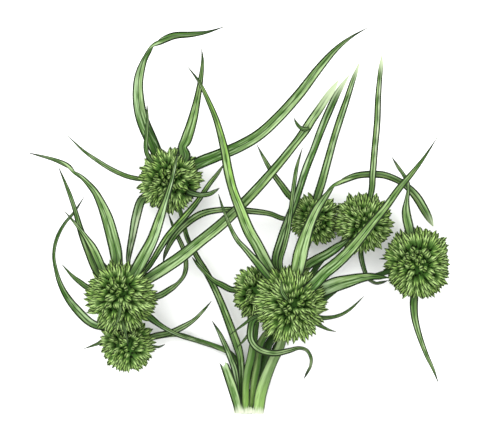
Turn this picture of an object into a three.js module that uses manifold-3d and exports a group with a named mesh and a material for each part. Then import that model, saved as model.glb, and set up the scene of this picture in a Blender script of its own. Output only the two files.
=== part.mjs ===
// Dwarf flat sedge, Cyperus michelianus: one cut tuft laid on its side.
// Eight round spiky flower heads stand on three-angled culms that all rise from one pale crown.
// Each head sits in a whorl of long, keeled, grass-like bracts. Two leaves and a torn sheath stand at
// the base.
// Millimetres; X runs across the tuft, Y from the cut base to the tips, Z up from the surface it lies on.

import * as THREE from 'three';
import { mergeVertices } from 'three/addons/utils/BufferGeometryUtils.js';
import Module from 'manifold-3d';

const wasm = await Module();
wasm.setup();
const { Manifold, Mesh } = wasm;

const UP = new THREE.Vector3(0, 0, 1);

// The surface the tuft lies on: its upper side is at height 0.
const SURFACE_SIZE = 200;
const SURFACE_DEPTH = 20;

// Clear gap kept between pieces that lie against each other.
const GAP = 0.3;

// Blades: thickness at the keel, how deep the two halves fold, and stations per stretch of the path.
const BLADE_THICKNESS = 0.6;
const BLADE_FOLD = 0.16;
const BLADE_STATIONS = 2;
const TIP_THICKNESS = 0.3;

// Culms: height of the three-angled section as a share of its width.
const CULM_HEIGHT = 0.8;
const CULM_STATIONS = 2;

// Heads: the solid middle as a share of the head's radius, and the spikelets that stand out of it.
const CORE_SHARE = 0.6;
const SPIKELETS_PER_MM2 = 0.109;
const SPIKELET_WIDTH = 2;
const SPIKELET_ROOT_SHARE = 0.4;
const SPIKELET_BELLY_SHARE = 0.76;
const SPIKELET_SPREAD = 0.16;
const SPIKELET_SHORTEST = 0.9;
const SPIKELET_SIDES = 3;

// Crown: the pale stump the culms rise from, cut straight across below.
const CROWN = {
  left: -1.6,
  right: 5.0,
  bottom: -38.7,
  top: -37.53,
  height: 6.9,
  shoulder: 3.8,
  corner: 0.5,
};

const COLOURS = {
  bract: 0x6f9c4f,
  leaf: 0x7aa452,
  sheath: 0xa9c177,
  culm: 0x82a957,
  head: 0x86a94c,
  crown: 0xdbe4b0,
};

// Every path below lists points [x, y, z, width] from root to tip; a fifth number turns the blade about
// its own length, in degrees.

// The bracts, head by head. Those of the left head and the front head cross over the others.
const BRACTS = {
  bract_upper_left_arching: [
    [-16.0, 12.2, 6.6, 2.1], [-17.8, 16.1, 7.0, 2.6], [-19.5, 20.1, 7.0, 2.6], [-20.3, 24.1, 6.6, 2.4],
    [-20.3, 28.1, 6.1, 2.0], [-19.4, 31.7, 5.7, 1.7, 38], [-18.0, 34.1, 5.3, 1.6, 65],
    [-16.0, 35.8, 4.9, 1.6, 140], [-13.2, 37.0, 4.4, 1.5, 180], [-9.6, 37.3, 3.8, 1.2, 180],
    [-6.4, 37.8, 3.2, 0.64, 180], [-3.0, 38.9, 2.6, 0.1, 180],
  ],
  bract_upper_left_short: [
    [-16.3, 10.5, 9.4, 0.70], [-18.2, 12.5, 9.8, 0.88], [-18.8, 14.5, 9.5, 1.0], [-18.7, 17.1, 9.1, 0.84],
    [-18.5, 20.1, 8.7, 0.64], [-18.6, 23.5, 8.2, 0.1],
  ],
  bract_upper_left_wavy: [
    [-11.9, 11.6, 8.4, 2.0], [-11.1, 12.9, 8.2, 2.5], [-11.5, 14.7, 8.0, 1.9], [-10.7, 16.3, 7.6, 2.3],
    [-9.5, 20.1, 6.7, 2.0], [-8.6, 24.1, 5.8, 1.5], [-7.9, 28.1, 5.0, 1.1], [-7.5, 31.7, 4.3, 0.68],
    [-7.7, 34.5, 3.8, 0.1],
  ],
  bract_upper_left_long: [
    [-10.1, 10.4, 6.8, 2.0], [-8.0, 11.6, 6.6, 2.5], [-4.0, 13.2, 6.4, 2.4], [0.0, 14.9, 6.2, 2.4],
    [4.0, 17.3, 6.0, 2.3], [8.0, 21.0, 5.7, 2.2], [12.0, 25.5, 5.3, 2.1], [15.6, 30.2, 4.8, 1.8],
    [19.0, 34.1, 4.2, 1.2], [22.2, 36.7, 3.6, 0.60], [25.7, 38.7, 3.0, 0.1],
  ],
  bract_upper_left_side: [
    [-18.6, 8.3, 6.2, 0.83], [-20.6, 8.4, 6.1, 1.0], [-23.0, 9.0, 6.0, 1.0], [-26.0, 10.4, 5.7, 1.0],
    [-29.0, 12.3, 5.3, 0.84], [-31.6, 14.2, 4.9, 0.56], [-34.6, 17.1, 4.4, 0.1],
  ],
  bract_upper_left_hooked: [
    [-10.5, 5.9, 8.6, 1.2], [-9.8, 5.5, 8.7, 1.4], [-8.0, 5.1, 8.3, 1.1], [-6.2, 5.3, 7.9, 1.0],
    [-5.0, 5.9, 7.6, 0.68], [-4.1, 6.5, 7.4, 0.1],
  ],
  bract_upper_left_down: [
    [-17.7, 5.4, 5.4, 1.5], [-19.7, 4.1, 5.2, 1.8], [-20.8, 0.7, 4.8, 1.9], [-21.5, -2.9, 4.4, 1.6],
    [-22.1, -5.9, 4.0, 1.3], [-22.4, -8.1, 3.7, 0.88], [-22.3, -9.7, 3.5, 0.20],
  ],
  bract_left_outer: [
    [-27.1, -11.6, 9.0, 1.5], [-28.6, -9.9, 8.9, 1.9], [-30.3, -5.9, 8.4, 1.8], [-31.8, -2.1, 7.8, 1.4],
    [-33.0, 2.1, 7.2, 1.0], [-34.4, 6.1, 6.5, 0.80], [-36.4, 10.9, 5.6, 0.1],
  ],
  bract_left_crossing: [
    [-26.6, -11.1, 10.6, 1.4], [-27.4, -9.9, 10.5, 1.8], [-29.2, -5.9, 10.0, 1.8], [-30.7, -3.5, 9.5, 1.2],
    [-32.1, -1.6, 9.1, 0.80], [-33.5, 0.1, 8.6, 0.52], [-35.2, 2.0, 8.0, 0.1],
  ],
  bract_left_broad: [
    [-24.4, -10.2, 9.6, 2.0], [-24.8, -6.3, 9.6, 2.6], [-25.7, -2.5, 9.5, 2.6], [-26.6, 0.6, 9.3, 2.4],
    [-27.7, 3.3, 9.0, 1.9], [-28.9, 5.6, 8.7, 1.5], [-30.5, 7.5, 8.4, 1.3, 28], [-32.2, 9.1, 8.0, 1.2, 58],
    [-34.4, 10.9, 7.5, 1.2, 145], [-37.0, 12.1, 7.0, 0.84, 180], [-39.8, 12.9, 6.3, 0.54, 180],
    [-42.6, 13.6, 5.6, 0.1, 180],
  ],
  bract_left_over_head: [
    [-21.8, -11.8, 13.0, 2.1], [-19.8, -8.3, 13.2, 2.6], [-17.5, -3.9, 13.3, 2.3], [-16.1, 0.1, 13.3, 2.0],
    [-14.8, 4.1, 13.3, 1.4], [-13.6, 8.1, 13.2, 0.90], [-12.8, 11.7, 12.9, 0.60], [-12.3, 14.3, 12.4, 0.1],
  ],
  bract_left_rising: [
    [-20.5, -11.7, 8.6, 0.86], [-18.4, -9.4, 8.4, 1.1], [-17.3, -7.7, 8.2, 1.2], [-15.0, -4.0, 7.9, 1.4],
    [-13.3, -1.8, 7.5, 1.4], [-9.9, 2.1, 6.7, 1.3], [-8.3, 4.1, 6.0, 1.1], [-6.2, 7.2, 5.2, 1.0],
    [-4.4, 9.5, 4.7, 0.76], [-3.1, 11.5, 4.4, 0.1],
  ],
  bract_left_curling: [
    [-25.2, -19.6, 7.8, 1.1], [-25.6, -21.0, 7.7, 1.4], [-27.8, -21.2, 7.5, 1.5], [-29.9, -20.4, 7.2, 1.7],
    [-32.0, -18.5, 6.5, 1.8], [-34.2, -15.9, 5.6, 1.5], [-35.9, -12.9, 4.8, 1.1], [-36.9, -9.7, 4.0, 0.82],
    [-37.3, -6.7, 3.5, 0.72], [-36.7, -3.6, 3.2, 0.80], [-35.2, -0.7, 3.1, 0.68], [-33.2, 1.7, 3.0, 0.56],
    [-31.2, 4.8, 2.8, 0.1],
  ],
  bract_left_turning: [
    [-19.1, -15.2, 8.6, 1.2], [-16.4, -15.1, 8.1, 1.4], [-14.2, -13.9, 7.3, 1.3],
    [-12.4, -12.5, 6.3, 1.1, 42], [-11.2, -10.8, 5.5, 1.1, 34], [-10.8, -8.7, 4.9, 1.0],
    [-11.3, -5.9, 4.4, 1.0], [-12.4, -3.3, 4.1, 0.90], [-13.5, -0.9, 3.9, 0.64], [-14.4, 1.5, 3.7, 0.1],
  ],
  bract_left_low: [
    [-20.0, -18.0, 8.2, 1.1], [-18.2, -19.2, 7.8, 1.4], [-16.0, -20.9, 7.1, 1.1],
    [-13.6, -22.3, 6.4, 0.88], [-11.2, -23.3, 5.8, 0.72], [-8.8, -24.0, 5.2, 0.68],
    [-6.8, -24.8, 4.7, 0.48], [-4.2, -26.0, 4.2, 0.1],
  ],
  bract_left_small: [
    [-28.4, -13.9, 9.0, 1.0], [-30.4, -13.4, 8.7, 1.2], [-32.0, -12.3, 8.2, 1.1],
    [-33.6, -11.0, 7.6, 0.74], [-35.7, -8.7, 6.7, 0.1],
  ],
  bract_lower_left: [
    [-18.7, -23.6, 5.0, 1.1], [-16.8, -23.1, 4.7, 1.4], [-14.0, -22.5, 4.3, 1.3], [-11.4, -21.3, 4.0, 1.2],
    [-9.2, -19.9, 3.8, 0.84], [-7.2, -17.9, 3.6, 0.60], [-5.7, -16.1, 3.4, 0.1],
  ],
  bract_front_long: [
    [7.4, -12.0, 12.2, 1.8], [5.2, -8.3, 12.2, 2.3], [3.4, -4.9, 11.9, 2.4], [1.7, -1.9, 11.5, 2.4],
    [0.1, 2.1, 11.0, 2.2], [-1.4, 6.1, 10.4, 1.9], [-2.4, 10.1, 9.8, 1.9], [-3.1, 14.1, 9.1, 1.7],
    [-4.6, 19.7, 8.4, 1.3], [-6.4, 24.1, 7.8, 1.0], [-8.3, 27.9, 7.2, 0.64], [-10.6, 30.9, 6.6, 0.1],
  ],
  bract_front_narrow: [
    [6.8, -12.5, 14.0, 1.3], [4.8, -10.1, 13.9, 1.6], [3.0, -7.9, 13.7, 1.5], [1.1, -5.7, 13.3, 1.2],
    [-0.6, -3.8, 12.7, 1.0], [-1.9, -1.4, 12.1, 0.80], [-2.9, 1.1, 11.5, 0.64], [-3.7, 3.3, 11.0, 0.48],
    [-4.3, 5.3, 10.5, 0.1],
  ],
  bract_front_dark: [
    [8.4, -12.1, 10.6, 1.2], [7.0, -8.3, 10.6, 1.5], [8.0, -4.1, 10.1, 1.5], [9.4, -0.3, 9.7, 1.6],
    [10.7, 2.9, 9.2, 1.6], [11.8, 6.1, 8.7, 1.5], [13.2, 10.4, 8.1, 1.6], [14.7, 14.1, 7.5, 1.5],
    [16.2, 18.1, 6.9, 1.6], [17.9, 22.1, 6.3, 1.6], [19.3, 25.1, 5.9, 1.4], [20.7, 27.4, 5.6, 0.84],
    [22.0, 29.3, 5.3, 0.1],
  ],
  bract_front_slender: [
    [8.7, -11.3, 13.0, 0.90], [8.0, -8.3, 12.7, 1.1], [8.9, -4.9, 12.3, 1.1], [9.7, -1.3, 11.5, 1.1],
    [10.2, 2.7, 11.1, 0.92], [10.8, 7.3, 10.6, 0.90], [11.4, 10.9, 10.1, 0.72], [12.5, 14.6, 9.4, 0.1],
  ],
  bract_front_arching: [
    [10.9, -12.5, 16.2, 2.5], [11.8, -7.9, 15.6, 3.1], [12.2, -5.3, 14.7, 3.1], [13.0, -3.0, 13.8, 2.4],
    [14.1, -0.3, 12.9, 2.0], [15.4, 2.4, 12.1, 1.8], [16.6, 4.2, 11.5, 1.6, 22],
    [18.0, 6.0, 10.8, 1.5, 58], [19.6, 7.3, 10.2, 1.4, 115], [21.4, 8.3, 9.5, 1.4, 155],
    [24.0, 9.1, 8.6, 1.4, 180], [28.0, 9.2, 7.4, 1.5, 180], [30.8, 8.4, 6.5, 1.4, 180],
    [33.2, 7.0, 5.7, 1.4, 180], [35.3, 4.8, 5.1, 1.8, 180], [36.9, 2.2, 4.6, 1.8, 180],
    [38.0, 0.2, 4.4, 1.3, 180], [38.7, -1.2, 4.3, 0.16, 180],
  ],
  bract_front_behind: [
    [11.9, -12.3, 10.6, 1.5], [13.2, -9.3, 10.4, 1.9], [15.0, -8.0, 10.0, 2.0], [17.4, -6.7, 9.3, 1.9],
    [19.8, -5.1, 8.6, 1.6], [22.4, -3.3, 8.0, 0.1],
  ],
  bract_front_over_head: [
    [12.6, -14.4, 16.8, 2.0], [14.6, -12.8, 16.2, 2.5], [16.8, -10.5, 15.3, 2.5], [19.6, -8.2, 14.4, 2.4],
    [22.4, -5.4, 13.6, 2.2], [26.0, -1.0, 12.8, 1.8], [29.0, 2.6, 11.9, 1.6], [32.0, 6.7, 10.7, 1.4],
    [34.4, 9.5, 9.7, 1.1], [36.8, 12.6, 8.8, 0.64], [39.5, 16.7, 7.8, 0.1],
  ],
  bract_front_broad: [
    [14.7, -14.6, 12.4, 2.3], [16.4, -13.9, 12.0, 2.8], [19.0, -12.8, 11.2, 3.0], [21.6, -12.1, 10.3, 2.6],
    [24.0, -11.5, 9.4, 2.0], [26.2, -11.2, 8.6, 1.5], [28.0, -11.3, 7.9, 1.0], [29.8, -11.4, 7.2, 0.1],
  ],
  bract_front_fine_right: [
    [14.3, -18.6, 11.0, 0.80], [16.0, -19.4, 10.7, 1.0], [18.4, -19.3, 10.0, 0.80],
    [20.4, -18.7, 9.4, 0.70], [22.4, -17.4, 8.8, 0.56], [24.7, -15.2, 8.2, 0.1],
  ],
  bract_front_fine_left: [
    [5.2, -18.4, 12.8, 0.61], [3.0, -19.2, 12.1, 0.76], [1.7, -20.0, 11.5, 0.66], [0.0, -21.3, 10.7, 0.48],
    [-2.0, -22.8, 9.8, 0.1],
  ],
  bract_front_looping: [
    [6.4, -18.2, 9.8, 1.1], [2.9, -19.7, 9.5, 1.4], [2.1, -21.9, 9.1, 1.5], [2.2, -23.8, 8.8, 1.4],
    [3.3, -25.4, 8.6, 1.4], [5.2, -26.3, 8.5, 1.4], [7.4, -26.5, 8.4, 1.3], [9.8, -26.0, 8.0, 1.1],
    [11.8, -25.5, 7.7, 0.78], [13.4, -26.0, 7.3, 0.72], [14.2, -27.5, 6.9, 0.72], [14.1, -29.1, 6.4, 0.62],
    [13.4, -30.5, 6.0, 0.56], [12.8, -31.7, 5.7, 0.1],
  ],
  bract_back: [
    [0.2, -14.0, 6.6, 1.1], [-1.8, -13.8, 6.8, 1.3], [-3.6, -12.9, 6.8, 1.3], [-5.4, -11.9, 6.8, 1.0],
    [-7.1, -10.3, 6.6, 0.86], [-8.5, -8.8, 6.4, 0.64], [-9.6, -7.3, 6.2, 0.1],
  ],
  bract_middle_arching: [
    [11.4, 0.4, 5.0, 0.77], [8.6, 0.4, 5.1, 1.0], [5.8, 1.4, 5.3, 1.1], [2.0, 1.9, 5.5, 1.3],
    [-2.0, 2.2, 5.6, 1.2], [-5.6, 1.9, 5.5, 1.3], [-8.2, 1.1, 5.4, 1.5], [-10.4, -0.4, 5.3, 1.4],
    [-12.4, -2.3, 5.3, 1.3], [-13.9, -4.4, 5.3, 1.1], [-14.9, -6.5, 5.3, 0.84], [-15.4, -8.3, 5.3, 0.16],
  ],
  bract_middle_left: [
    [12.4, 2.8, 5.8, 1.1], [9.9, 5.0, 5.9, 1.4], [8.3, 7.1, 5.9, 1.3], [6.6, 9.4, 5.8, 1.1],
    [5.1, 11.9, 5.6, 0.82], [3.4, 15.1, 5.3, 0.1],
  ],
  bract_middle_upright: [
    [15.3, 3.4, 7.2, 1.4], [15.4, 4.5, 7.3, 1.7], [16.5, 8.1, 7.1, 1.7], [17.6, 12.1, 6.7, 1.6],
    [18.8, 16.4, 6.2, 1.5], [20.1, 20.5, 5.8, 1.5], [21.4, 24.3, 5.4, 1.3], [22.5, 27.7, 5.0, 1.1],
    [23.3, 29.9, 4.8, 0.76], [23.9, 31.7, 4.6, 0.1],
  ],
  bract_mid_right_upright: [
    [25.4, 2.4, 8.8, 1.0], [26.3, 6.1, 9.2, 1.3], [26.5, 9.1, 9.4, 1.4], [26.9, 14.1, 9.0, 1.4],
    [27.4, 19.5, 8.4, 1.4], [27.6, 24.1, 7.9, 1.3], [27.9, 28.1, 7.4, 1.1], [28.2, 30.9, 7.0, 0.92],
    [28.4, 33.3, 6.7, 0.1],
  ],
  bract_mid_right_down: [
    [24.3, -4.7, 4.6, 0.85], [24.2, -6.7, 4.7, 1.1], [24.6, -8.9, 4.5, 1.0], [25.5, -11.3, 4.2, 0.84],
    [27.0, -12.5, 4.0, 0.66], [28.4, -12.4, 3.9, 0.60], [29.6, -12.0, 3.8, 0.1],
  ],
  bract_right_twisted: [
    [34.5, -4.3, 9.0, 1.6], [33.7, -1.1, 8.9, 2.0], [33.2, 1.7, 8.6, 1.8], [33.3, 3.9, 8.2, 1.2, 25],
    [33.6, 6.1, 7.8, 1.0, 40], [33.5, 7.6, 7.5, 0.92, 30], [32.6, 9.3, 7.0, 0.78], [31.5, 10.9, 6.5, 0.66],
    [30.4, 12.7, 6.0, 0.1],
  ],
  bract_right_down: [
    [35.1, -13.5, 5.6, 1.4], [34.8, -16.3, 5.3, 1.7], [35.0, -19.5, 4.9, 1.5], [35.9, -23.0, 4.5, 1.2],
    [37.3, -26.8, 4.1, 0.94], [38.7, -29.8, 3.8, 0.64], [39.8, -32.7, 3.5, 0.1],
  ],
};

// The longest bract, from the left head across the tuft, with the hook where it turns over.
const LONGEST_BRACT = {
  path: [
    [-19.7, -12.5, 10.0, 2.0], [-16.0, -10.1, 10.0, 2.5], [-12.0, -7.4, 9.8, 2.5], [-8.0, -4.2, 9.4, 2.3],
    [-4.0, -1.0, 8.8, 2.3], [0.0, 2.8, 8.3, 2.1], [4.0, 7.0, 7.9, 2.0], [8.0, 11.6, 7.7, 1.8],
    [11.2, 15.6, 7.9, 1.7], [13.0, 18.0, 8.2, 1.9], [14.4, 20.2, 8.3, 1.8], [15.8, 22.2, 8.1, 1.7],
    [17.3, 24.5, 7.9, 1.5], [18.6, 26.4, 7.7, 1.1], [19.7, 28.1, 7.5, 0.1],
  ],
  hook: [
    [13.9, 18.5, 8.5, 0.60], [12.9, 18.2, 8.6, 0.84], [11.9, 18.7, 8.7, 0.76], [11.2, 19.6, 8.7, 0.52],
    [10.8, 20.5, 8.7, 0.1],
  ],
};

// Leaves from the base, which run up behind the culms.
const LEAVES = {
  leaf_long: [
    [0.2, -37.1, 3.9, 1.0], [0.3, -33.1, 3.9, 1.2], [0.2, -29.5, 4.2, 1.5], [0.0, -27.1, 4.6, 1.6],
    [-0.6, -24.9, 4.8, 1.8], [-1.8, -21.6, 5.2, 1.7], [-3.6, -16.9, 5.1, 1.5], [-5.4, -12.9, 5.0, 1.4],
    [-7.2, -9.6, 4.8, 1.3], [-8.8, -7.0, 4.6, 1.0], [-9.9, -4.6, 4.4, 0.64], [-11.0, -2.3, 4.2, 0.1],
  ],
  leaf_short: [
    [-0.4, -37.0, 5.0, 0.88], [-0.5, -33.3, 5.0, 1.1], [-1.0, -30.1, 5.0, 1.4], [-1.9, -27.5, 4.9, 1.3],
    [-3.0, -24.9, 4.6, 1.1], [-4.2, -22.4, 4.2, 0.76], [-5.6, -20.1, 3.8, 0.1],
  ],
};

// A leaf sheath torn off short, left of the culms.
const TORN_SHEATH = {
  path: [
    [-0.5, -37.0, 6.0, 1.8], [-0.8, -35.8, 6.0, 1.9], [-1.5, -33.4, 6.0, 2.0], [-2.3, -31.1, 6.0, 1.9],
    [-3.1, -28.9, 5.9, 1.7],
  ],
  teeth: [
    [[-3.1, -29.7, 5.9, 0.90], [-3.5, -29.1, 5.9, 0.64], [-3.9, -28.4, 5.9, 0.1]],
    [[-2.6, -29.7, 5.9, 0.80], [-2.6, -29.2, 5.9, 0.52], [-2.5, -28.5, 5.9, 0.1]],
  ],
};

// The culms, from the crown to their heads. They lie over each other in three layers.
const CULMS = {
  culm_centre_front: [
    [3.8, -37.1, 5.3, 2.2], [4.1, -34.9, 5.3, 2.3], [5.0, -31.9, 5.3, 2.2], [5.9, -29.6, 5.4, 2.0],
    [6.9, -27.4, 5.7, 1.9], [8.1, -25.0, 6.3, 1.7], [9.2, -20.3, 8.6, 1.6],
  ],
  culm_centre_back: [
    [1.1, -37.1, 5.4, 1.4], [1.2, -32.9, 5.5, 1.4], [1.6, -29.9, 5.7, 1.5], [2.2, -27.5, 5.8, 1.6],
    [2.6, -25.1, 5.6, 1.5], [2.9, -22.7, 5.2, 1.4], [3.4, -19.0, 4.9, 1.2],
  ],
  culm_middle: [
    [2.2, -37.1, 4.1, 0.84], [2.6, -33.9, 4.3, 1.2], [2.9, -31.7, 4.6, 1.5], [3.3, -29.6, 4.5, 1.5],
    [3.6, -27.5, 4.4, 1.4], [4.0, -24.9, 4.4, 1.4], [5.1, -22.9, 4.2, 1.3], [7.4, -20.5, 4.0, 1.1],
    [10.2, -17.7, 3.8, 1.1], [11.8, -13.9, 3.8, 1.1], [12.3, -9.9, 4.0, 1.1], [13.0, -6.5, 4.4, 1.1],
    [14.1, -3.6, 4.8, 1.0],
  ],
  culm_mid_right: [
    [3.0, -37.1, 3.1, 1.0], [3.5, -32.9, 3.1, 1.2], [4.2, -29.6, 3.0, 1.4], [5.0, -27.3, 2.9, 1.6],
    [5.7, -24.9, 2.8, 1.6], [7.2, -22.8, 2.7, 1.4], [9.4, -20.7, 2.7, 1.1], [12.2, -16.7, 3.0, 1.1],
    [14.2, -11.3, 3.9, 1.1], [16.8, -7.4, 4.8, 1.1], [20.0, -4.8, 5.4, 1.0], [21.4, -3.5, 5.6, 1.0],
  ],
  culm_right: [
    [3.9, -37.1, 1.4, 1.2], [4.7, -33.3, 1.4, 1.2], [5.6, -29.9, 1.4, 1.2], [6.4, -27.5, 1.5, 1.2],
    [7.4, -25.1, 1.6, 1.2], [9.4, -22.4, 1.8, 1.2], [12.4, -19.7, 2.5, 1.1], [15.8, -16.7, 3.6, 1.1],
    [19.8, -13.4, 4.9, 1.1], [23.4, -11.9, 5.7, 1.1], [26.6, -11.2, 6.0, 1.0], [29.4, -10.3, 6.3, 1.0],
    [30.9, -9.8, 6.5, 1.0],
  ],
  culm_upper_left: [
    [1.6, -37.1, 3.1, 1.0], [1.2, -33.1, 3.1, 1.0], [0.5, -29.3, 3.0, 1.0], [-0.6, -24.5, 2.8, 1.0],
    [-3.6, -16.9, 2.6, 1.0], [-7.2, -9.6, 2.5, 0.94], [-10.2, -4.3, 2.6, 0.92], [-11.1, -1.5, 2.9, 0.90],
    [-11.8, 1.3, 3.3, 0.88], [-12.6, 3.5, 3.9, 0.88],
  ],
  culm_left: [
    [2.2, -37.1, 1.9, 1.0], [1.2, -33.5, 1.9, 1.0], [-0.1, -29.5, 1.9, 1.0], [-1.9, -26.7, 1.9, 1.0],
    [-4.8, -25.3, 1.9, 1.0], [-8.8, -24.0, 1.9, 1.0], [-12.4, -22.9, 2.1, 0.94], [-15.4, -21.4, 3.2, 0.92],
    [-18.4, -19.5, 5.0, 0.92], [-19.7, -18.4, 6.0, 0.92],
  ],
  culm_lower_left: [
    [2.8, -37.0, 0.6, 1.0], [1.2, -33.5, 0.6, 1.0], [-0.1, -29.5, 0.6, 1.0], [-1.9, -26.7, 0.6, 1.0],
    [-4.8, -25.3, 0.6, 1.0], [-8.8, -24.0, 0.6, 1.0], [-12.4, -22.9, 0.7, 0.94], [-15.4, -23.1, 1.5, 0.92],
    [-17.8, -23.6, 2.8, 0.92], [-18.7, -23.9, 3.4, 0.92],
  ],
};

// The heads: centre, radii and the stream of disorder. The order runs from front to back.
const HEADS = {
  head_centre_front: {
    centre: [10.0, -16.6, 13.0],
    radii: [7.5, 8.2, 7.5],
    seed: 11,
    innerBracts: [
      [
        [12.8, -18.7, 12.4, 1.0], [14.6, -20.2, 12.0, 0.92], [16.2, -21.1, 11.4, 0.76],
        [17.7, -21.8, 10.8, 0.52], [19.2, -22.2, 10.4, 0.1],
      ],
      [
        [10.0, -16.3, 17.0, 0.88], [9.1, -15.3, 20.6, 0.88], [8.3, -13.9, 21.2, 0.80],
        [8.3, -11.7, 20.4, 0.1],
      ],
    ],
  },
  head_left: {
    centre: [-23.8, -15.3, 10.0],
    radii: [7.3, 7.6, 7.3],
    seed: 23,
    innerBracts: [
      [
        [-23.8, -15.9, 14.0, 0.68], [-23.9, -17.7, 17.2, 0.68], [-24.3, -19.7, 16.8, 0.60],
        [-25.3, -21.5, 15.8, 0.1],
      ],
      [
        [-23.5, -18.7, 12.6, 0.64], [-23.3, -20.7, 14.6, 0.60], [-22.7, -22.9, 13.6, 0.48],
        [-22.3, -25.1, 12.4, 0.1],
      ],
    ],
  },
  head_mid_right: {
    centre: [24.6, -0.5, 5.8],
    radii: [6.2, 6.3, 6.2],
    seed: 37,
  },
  head_right: {
    centre: [35.6, -8.5, 6.5],
    radii: [7.2, 7.6, 7.2],
    seed: 41,
    innerBracts: [
      [
        [32.8, -8.1, 6.3, 0.80], [31.0, -7.7, 6.1, 0.76], [29.6, -7.6, 6.0, 0.60], [27.8, -7.7, 5.8, 0.1],
      ],
    ],
  },
  head_upper_left: {
    centre: [-14.0, 8.0, 6.3],
    radii: [6.8, 6.8, 6.8],
    seed: 53,
  },
  head_middle: {
    centre: [15.2, 0.3, 5.0],
    radii: [5.4, 5.5, 5.4],
    seed: 67,
  },
  head_centre_back: {
    centre: [4.4, -14.5, 5.8],
    radii: [6.2, 6.2, 6.2],
    seed: 71,
    innerBracts: [
      [
        [3.8, -17.7, 6.6, 1.0], [3.0, -20.1, 7.0, 0.84], [1.7, -22.7, 7.0, 0.64], [0.5, -24.3, 6.8, 0.48],
        [-0.6, -25.4, 6.6, 0.1],
      ],
    ],
  },
  head_lower_left: {
    centre: [-22.5, -24.7, 5.3],
    radii: [5.7, 5.8, 5.7],
    seed: 83,
    innerBracts: [
      [
        [-24.8, -24.5, 5.2, 0.80], [-27.2, -24.2, 5.0, 0.80], [-28.8, -24.8, 4.8, 0.64],
        [-31.3, -25.7, 4.4, 0.1],
      ],
      [
        [-19.6, -25.0, 4.8, 0.68], [-17.6, -25.2, 4.5, 0.60], [-16.2, -25.3, 4.3, 0.48],
        [-15.0, -24.8, 4.2, 0.1],
      ],
    ],
  },
};

// A repeatable stream of numbers between 0 and 1.
function randomStream(seed) {
  let state = seed;
  return () => {
    state = (state + 0x6d2b79f5) | 0;
    let mixed = Math.imul(state ^ (state >>> 15), 1 | state);
    mixed = (mixed + Math.imul(mixed ^ (mixed >>> 7), 61 | mixed)) ^ mixed;
    return ((mixed ^ (mixed >>> 14)) >>> 0) / 4294967296;
  };
}

// A smooth curve through rows of numbers, read at a place between row and row.
function smoothRow(rows, index, t) {
  const last = rows.length - 1;
  const at = (i) => rows[Math.min(Math.max(i, 0), last)];
  const [a, b, c, d] = [at(index - 1), at(index), at(index + 1), at(index + 2)];
  return b.map((value, k) => {
    const slopeIn = (c[k] - a[k]) / 2;
    const slopeOut = (d[k] - b[k]) / 2;
    const t2 = t * t;
    const t3 = t2 * t;
    return value * (2 * t3 - 3 * t2 + 1) + slopeIn * (t3 - 2 * t2 + t)
      + c[k] * (3 * t2 - 2 * t3) + slopeOut * (t3 - t2);
  });
}

// Stations along a path: centre, sideways direction, facing direction and width.
function stationsOf(path, perStretch) {
  const rows = path.map(([x, y, z, width, turn = 0]) => [x, y, z, width, turn]);
  const samples = [];
  for (let i = 0; i < rows.length - 1; i += 1) {
    for (let k = 0; k < perStretch; k += 1) samples.push(smoothRow(rows, i, k / perStretch));
  }
  samples.push(rows[rows.length - 1]);
  return samples.map(([x, y, z, width, turn], i) => {
    const before = samples[Math.max(i - 1, 0)];
    const after = samples[Math.min(i + 1, samples.length - 1)];
    const along = new THREE.Vector3(...after.slice(0, 3)).sub(new THREE.Vector3(...before.slice(0, 3)));
    along.normalize();
    const side = new THREE.Vector3().crossVectors(along, UP).normalize();
    const face = new THREE.Vector3().crossVectors(side, along);
    const angle = THREE.MathUtils.degToRad(turn);
    side.applyAxisAngle(along, angle);
    face.applyAxisAngle(along, angle);
    return { centre: new THREE.Vector3(x, y, z), side, face, width };
  });
}

// Joins rings of points into a closed body. A ring of one point is a tip; other ends are capped from
// their first point. The dividing edges start at even corners, so both faces of a blade split alike.
function closedBody(rings) {
  const points = [];
  const starts = rings.map((ring) => {
    const start = points.length;
    points.push(...ring);
    return start;
  });
  const faces = [];
  for (let i = 0; i < rings.length - 1; i += 1) {
    const here = rings[i].length;
    const next = rings[i + 1].length;
    const sides = Math.max(here, next);
    for (let k = 0; k < sides; k += 1) {
      const a = starts[i] + (k % here);
      const b = starts[i] + ((k + 1) % here);
      const c = starts[i + 1] + ((k + 1) % next);
      const d = starts[i + 1] + (k % next);
      if (next === 1) faces.push([a, b, d]);
      else if (here === 1) faces.push([a, c, d]);
      else if (k % 2 === 0) faces.push([a, b, c], [a, c, d]);
      else faces.push([a, b, d], [b, c, d]);
    }
  }
  for (const [ring, turned] of [[0, true], [rings.length - 1, false]]) {
    for (let k = 1; k < rings[ring].length - 1; k += 1) {
      const cap = [starts[ring], starts[ring] + k, starts[ring] + k + 1];
      faces.push(turned ? cap.reverse() : cap);
    }
  }
  return solidFrom(points, faces);
}

// A closed solid from points and faces, whichever way round the faces were listed.
function solidFrom(points, faces) {
  const build = (list) => new Manifold(new Mesh({
    numProp: 3,
    vertProperties: new Float32Array(points.flatMap((p) => [p.x, p.y, p.z])),
    triVerts: new Uint32Array(list.flat()),
  }));
  const solid = build(faces);
  return solid.volume() > 0 ? solid : build(faces.map((face) => [...face].reverse()));
}

// The four corners of a blade's section: left margin, upper crease, right margin, keel.
function bladeSection({ centre, side, face, width }, thickness) {
  const lift = (width * BLADE_FOLD) / 2;
  const corner = (across, raised) => centre.clone()
    .addScaledVector(side, across).addScaledVector(face, raised);
  return [
    corner(-width / 2, lift),
    corner(0, thickness / 2 - lift),
    corner(width / 2, lift),
    corner(0, -thickness / 2 - lift),
  ];
}

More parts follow.
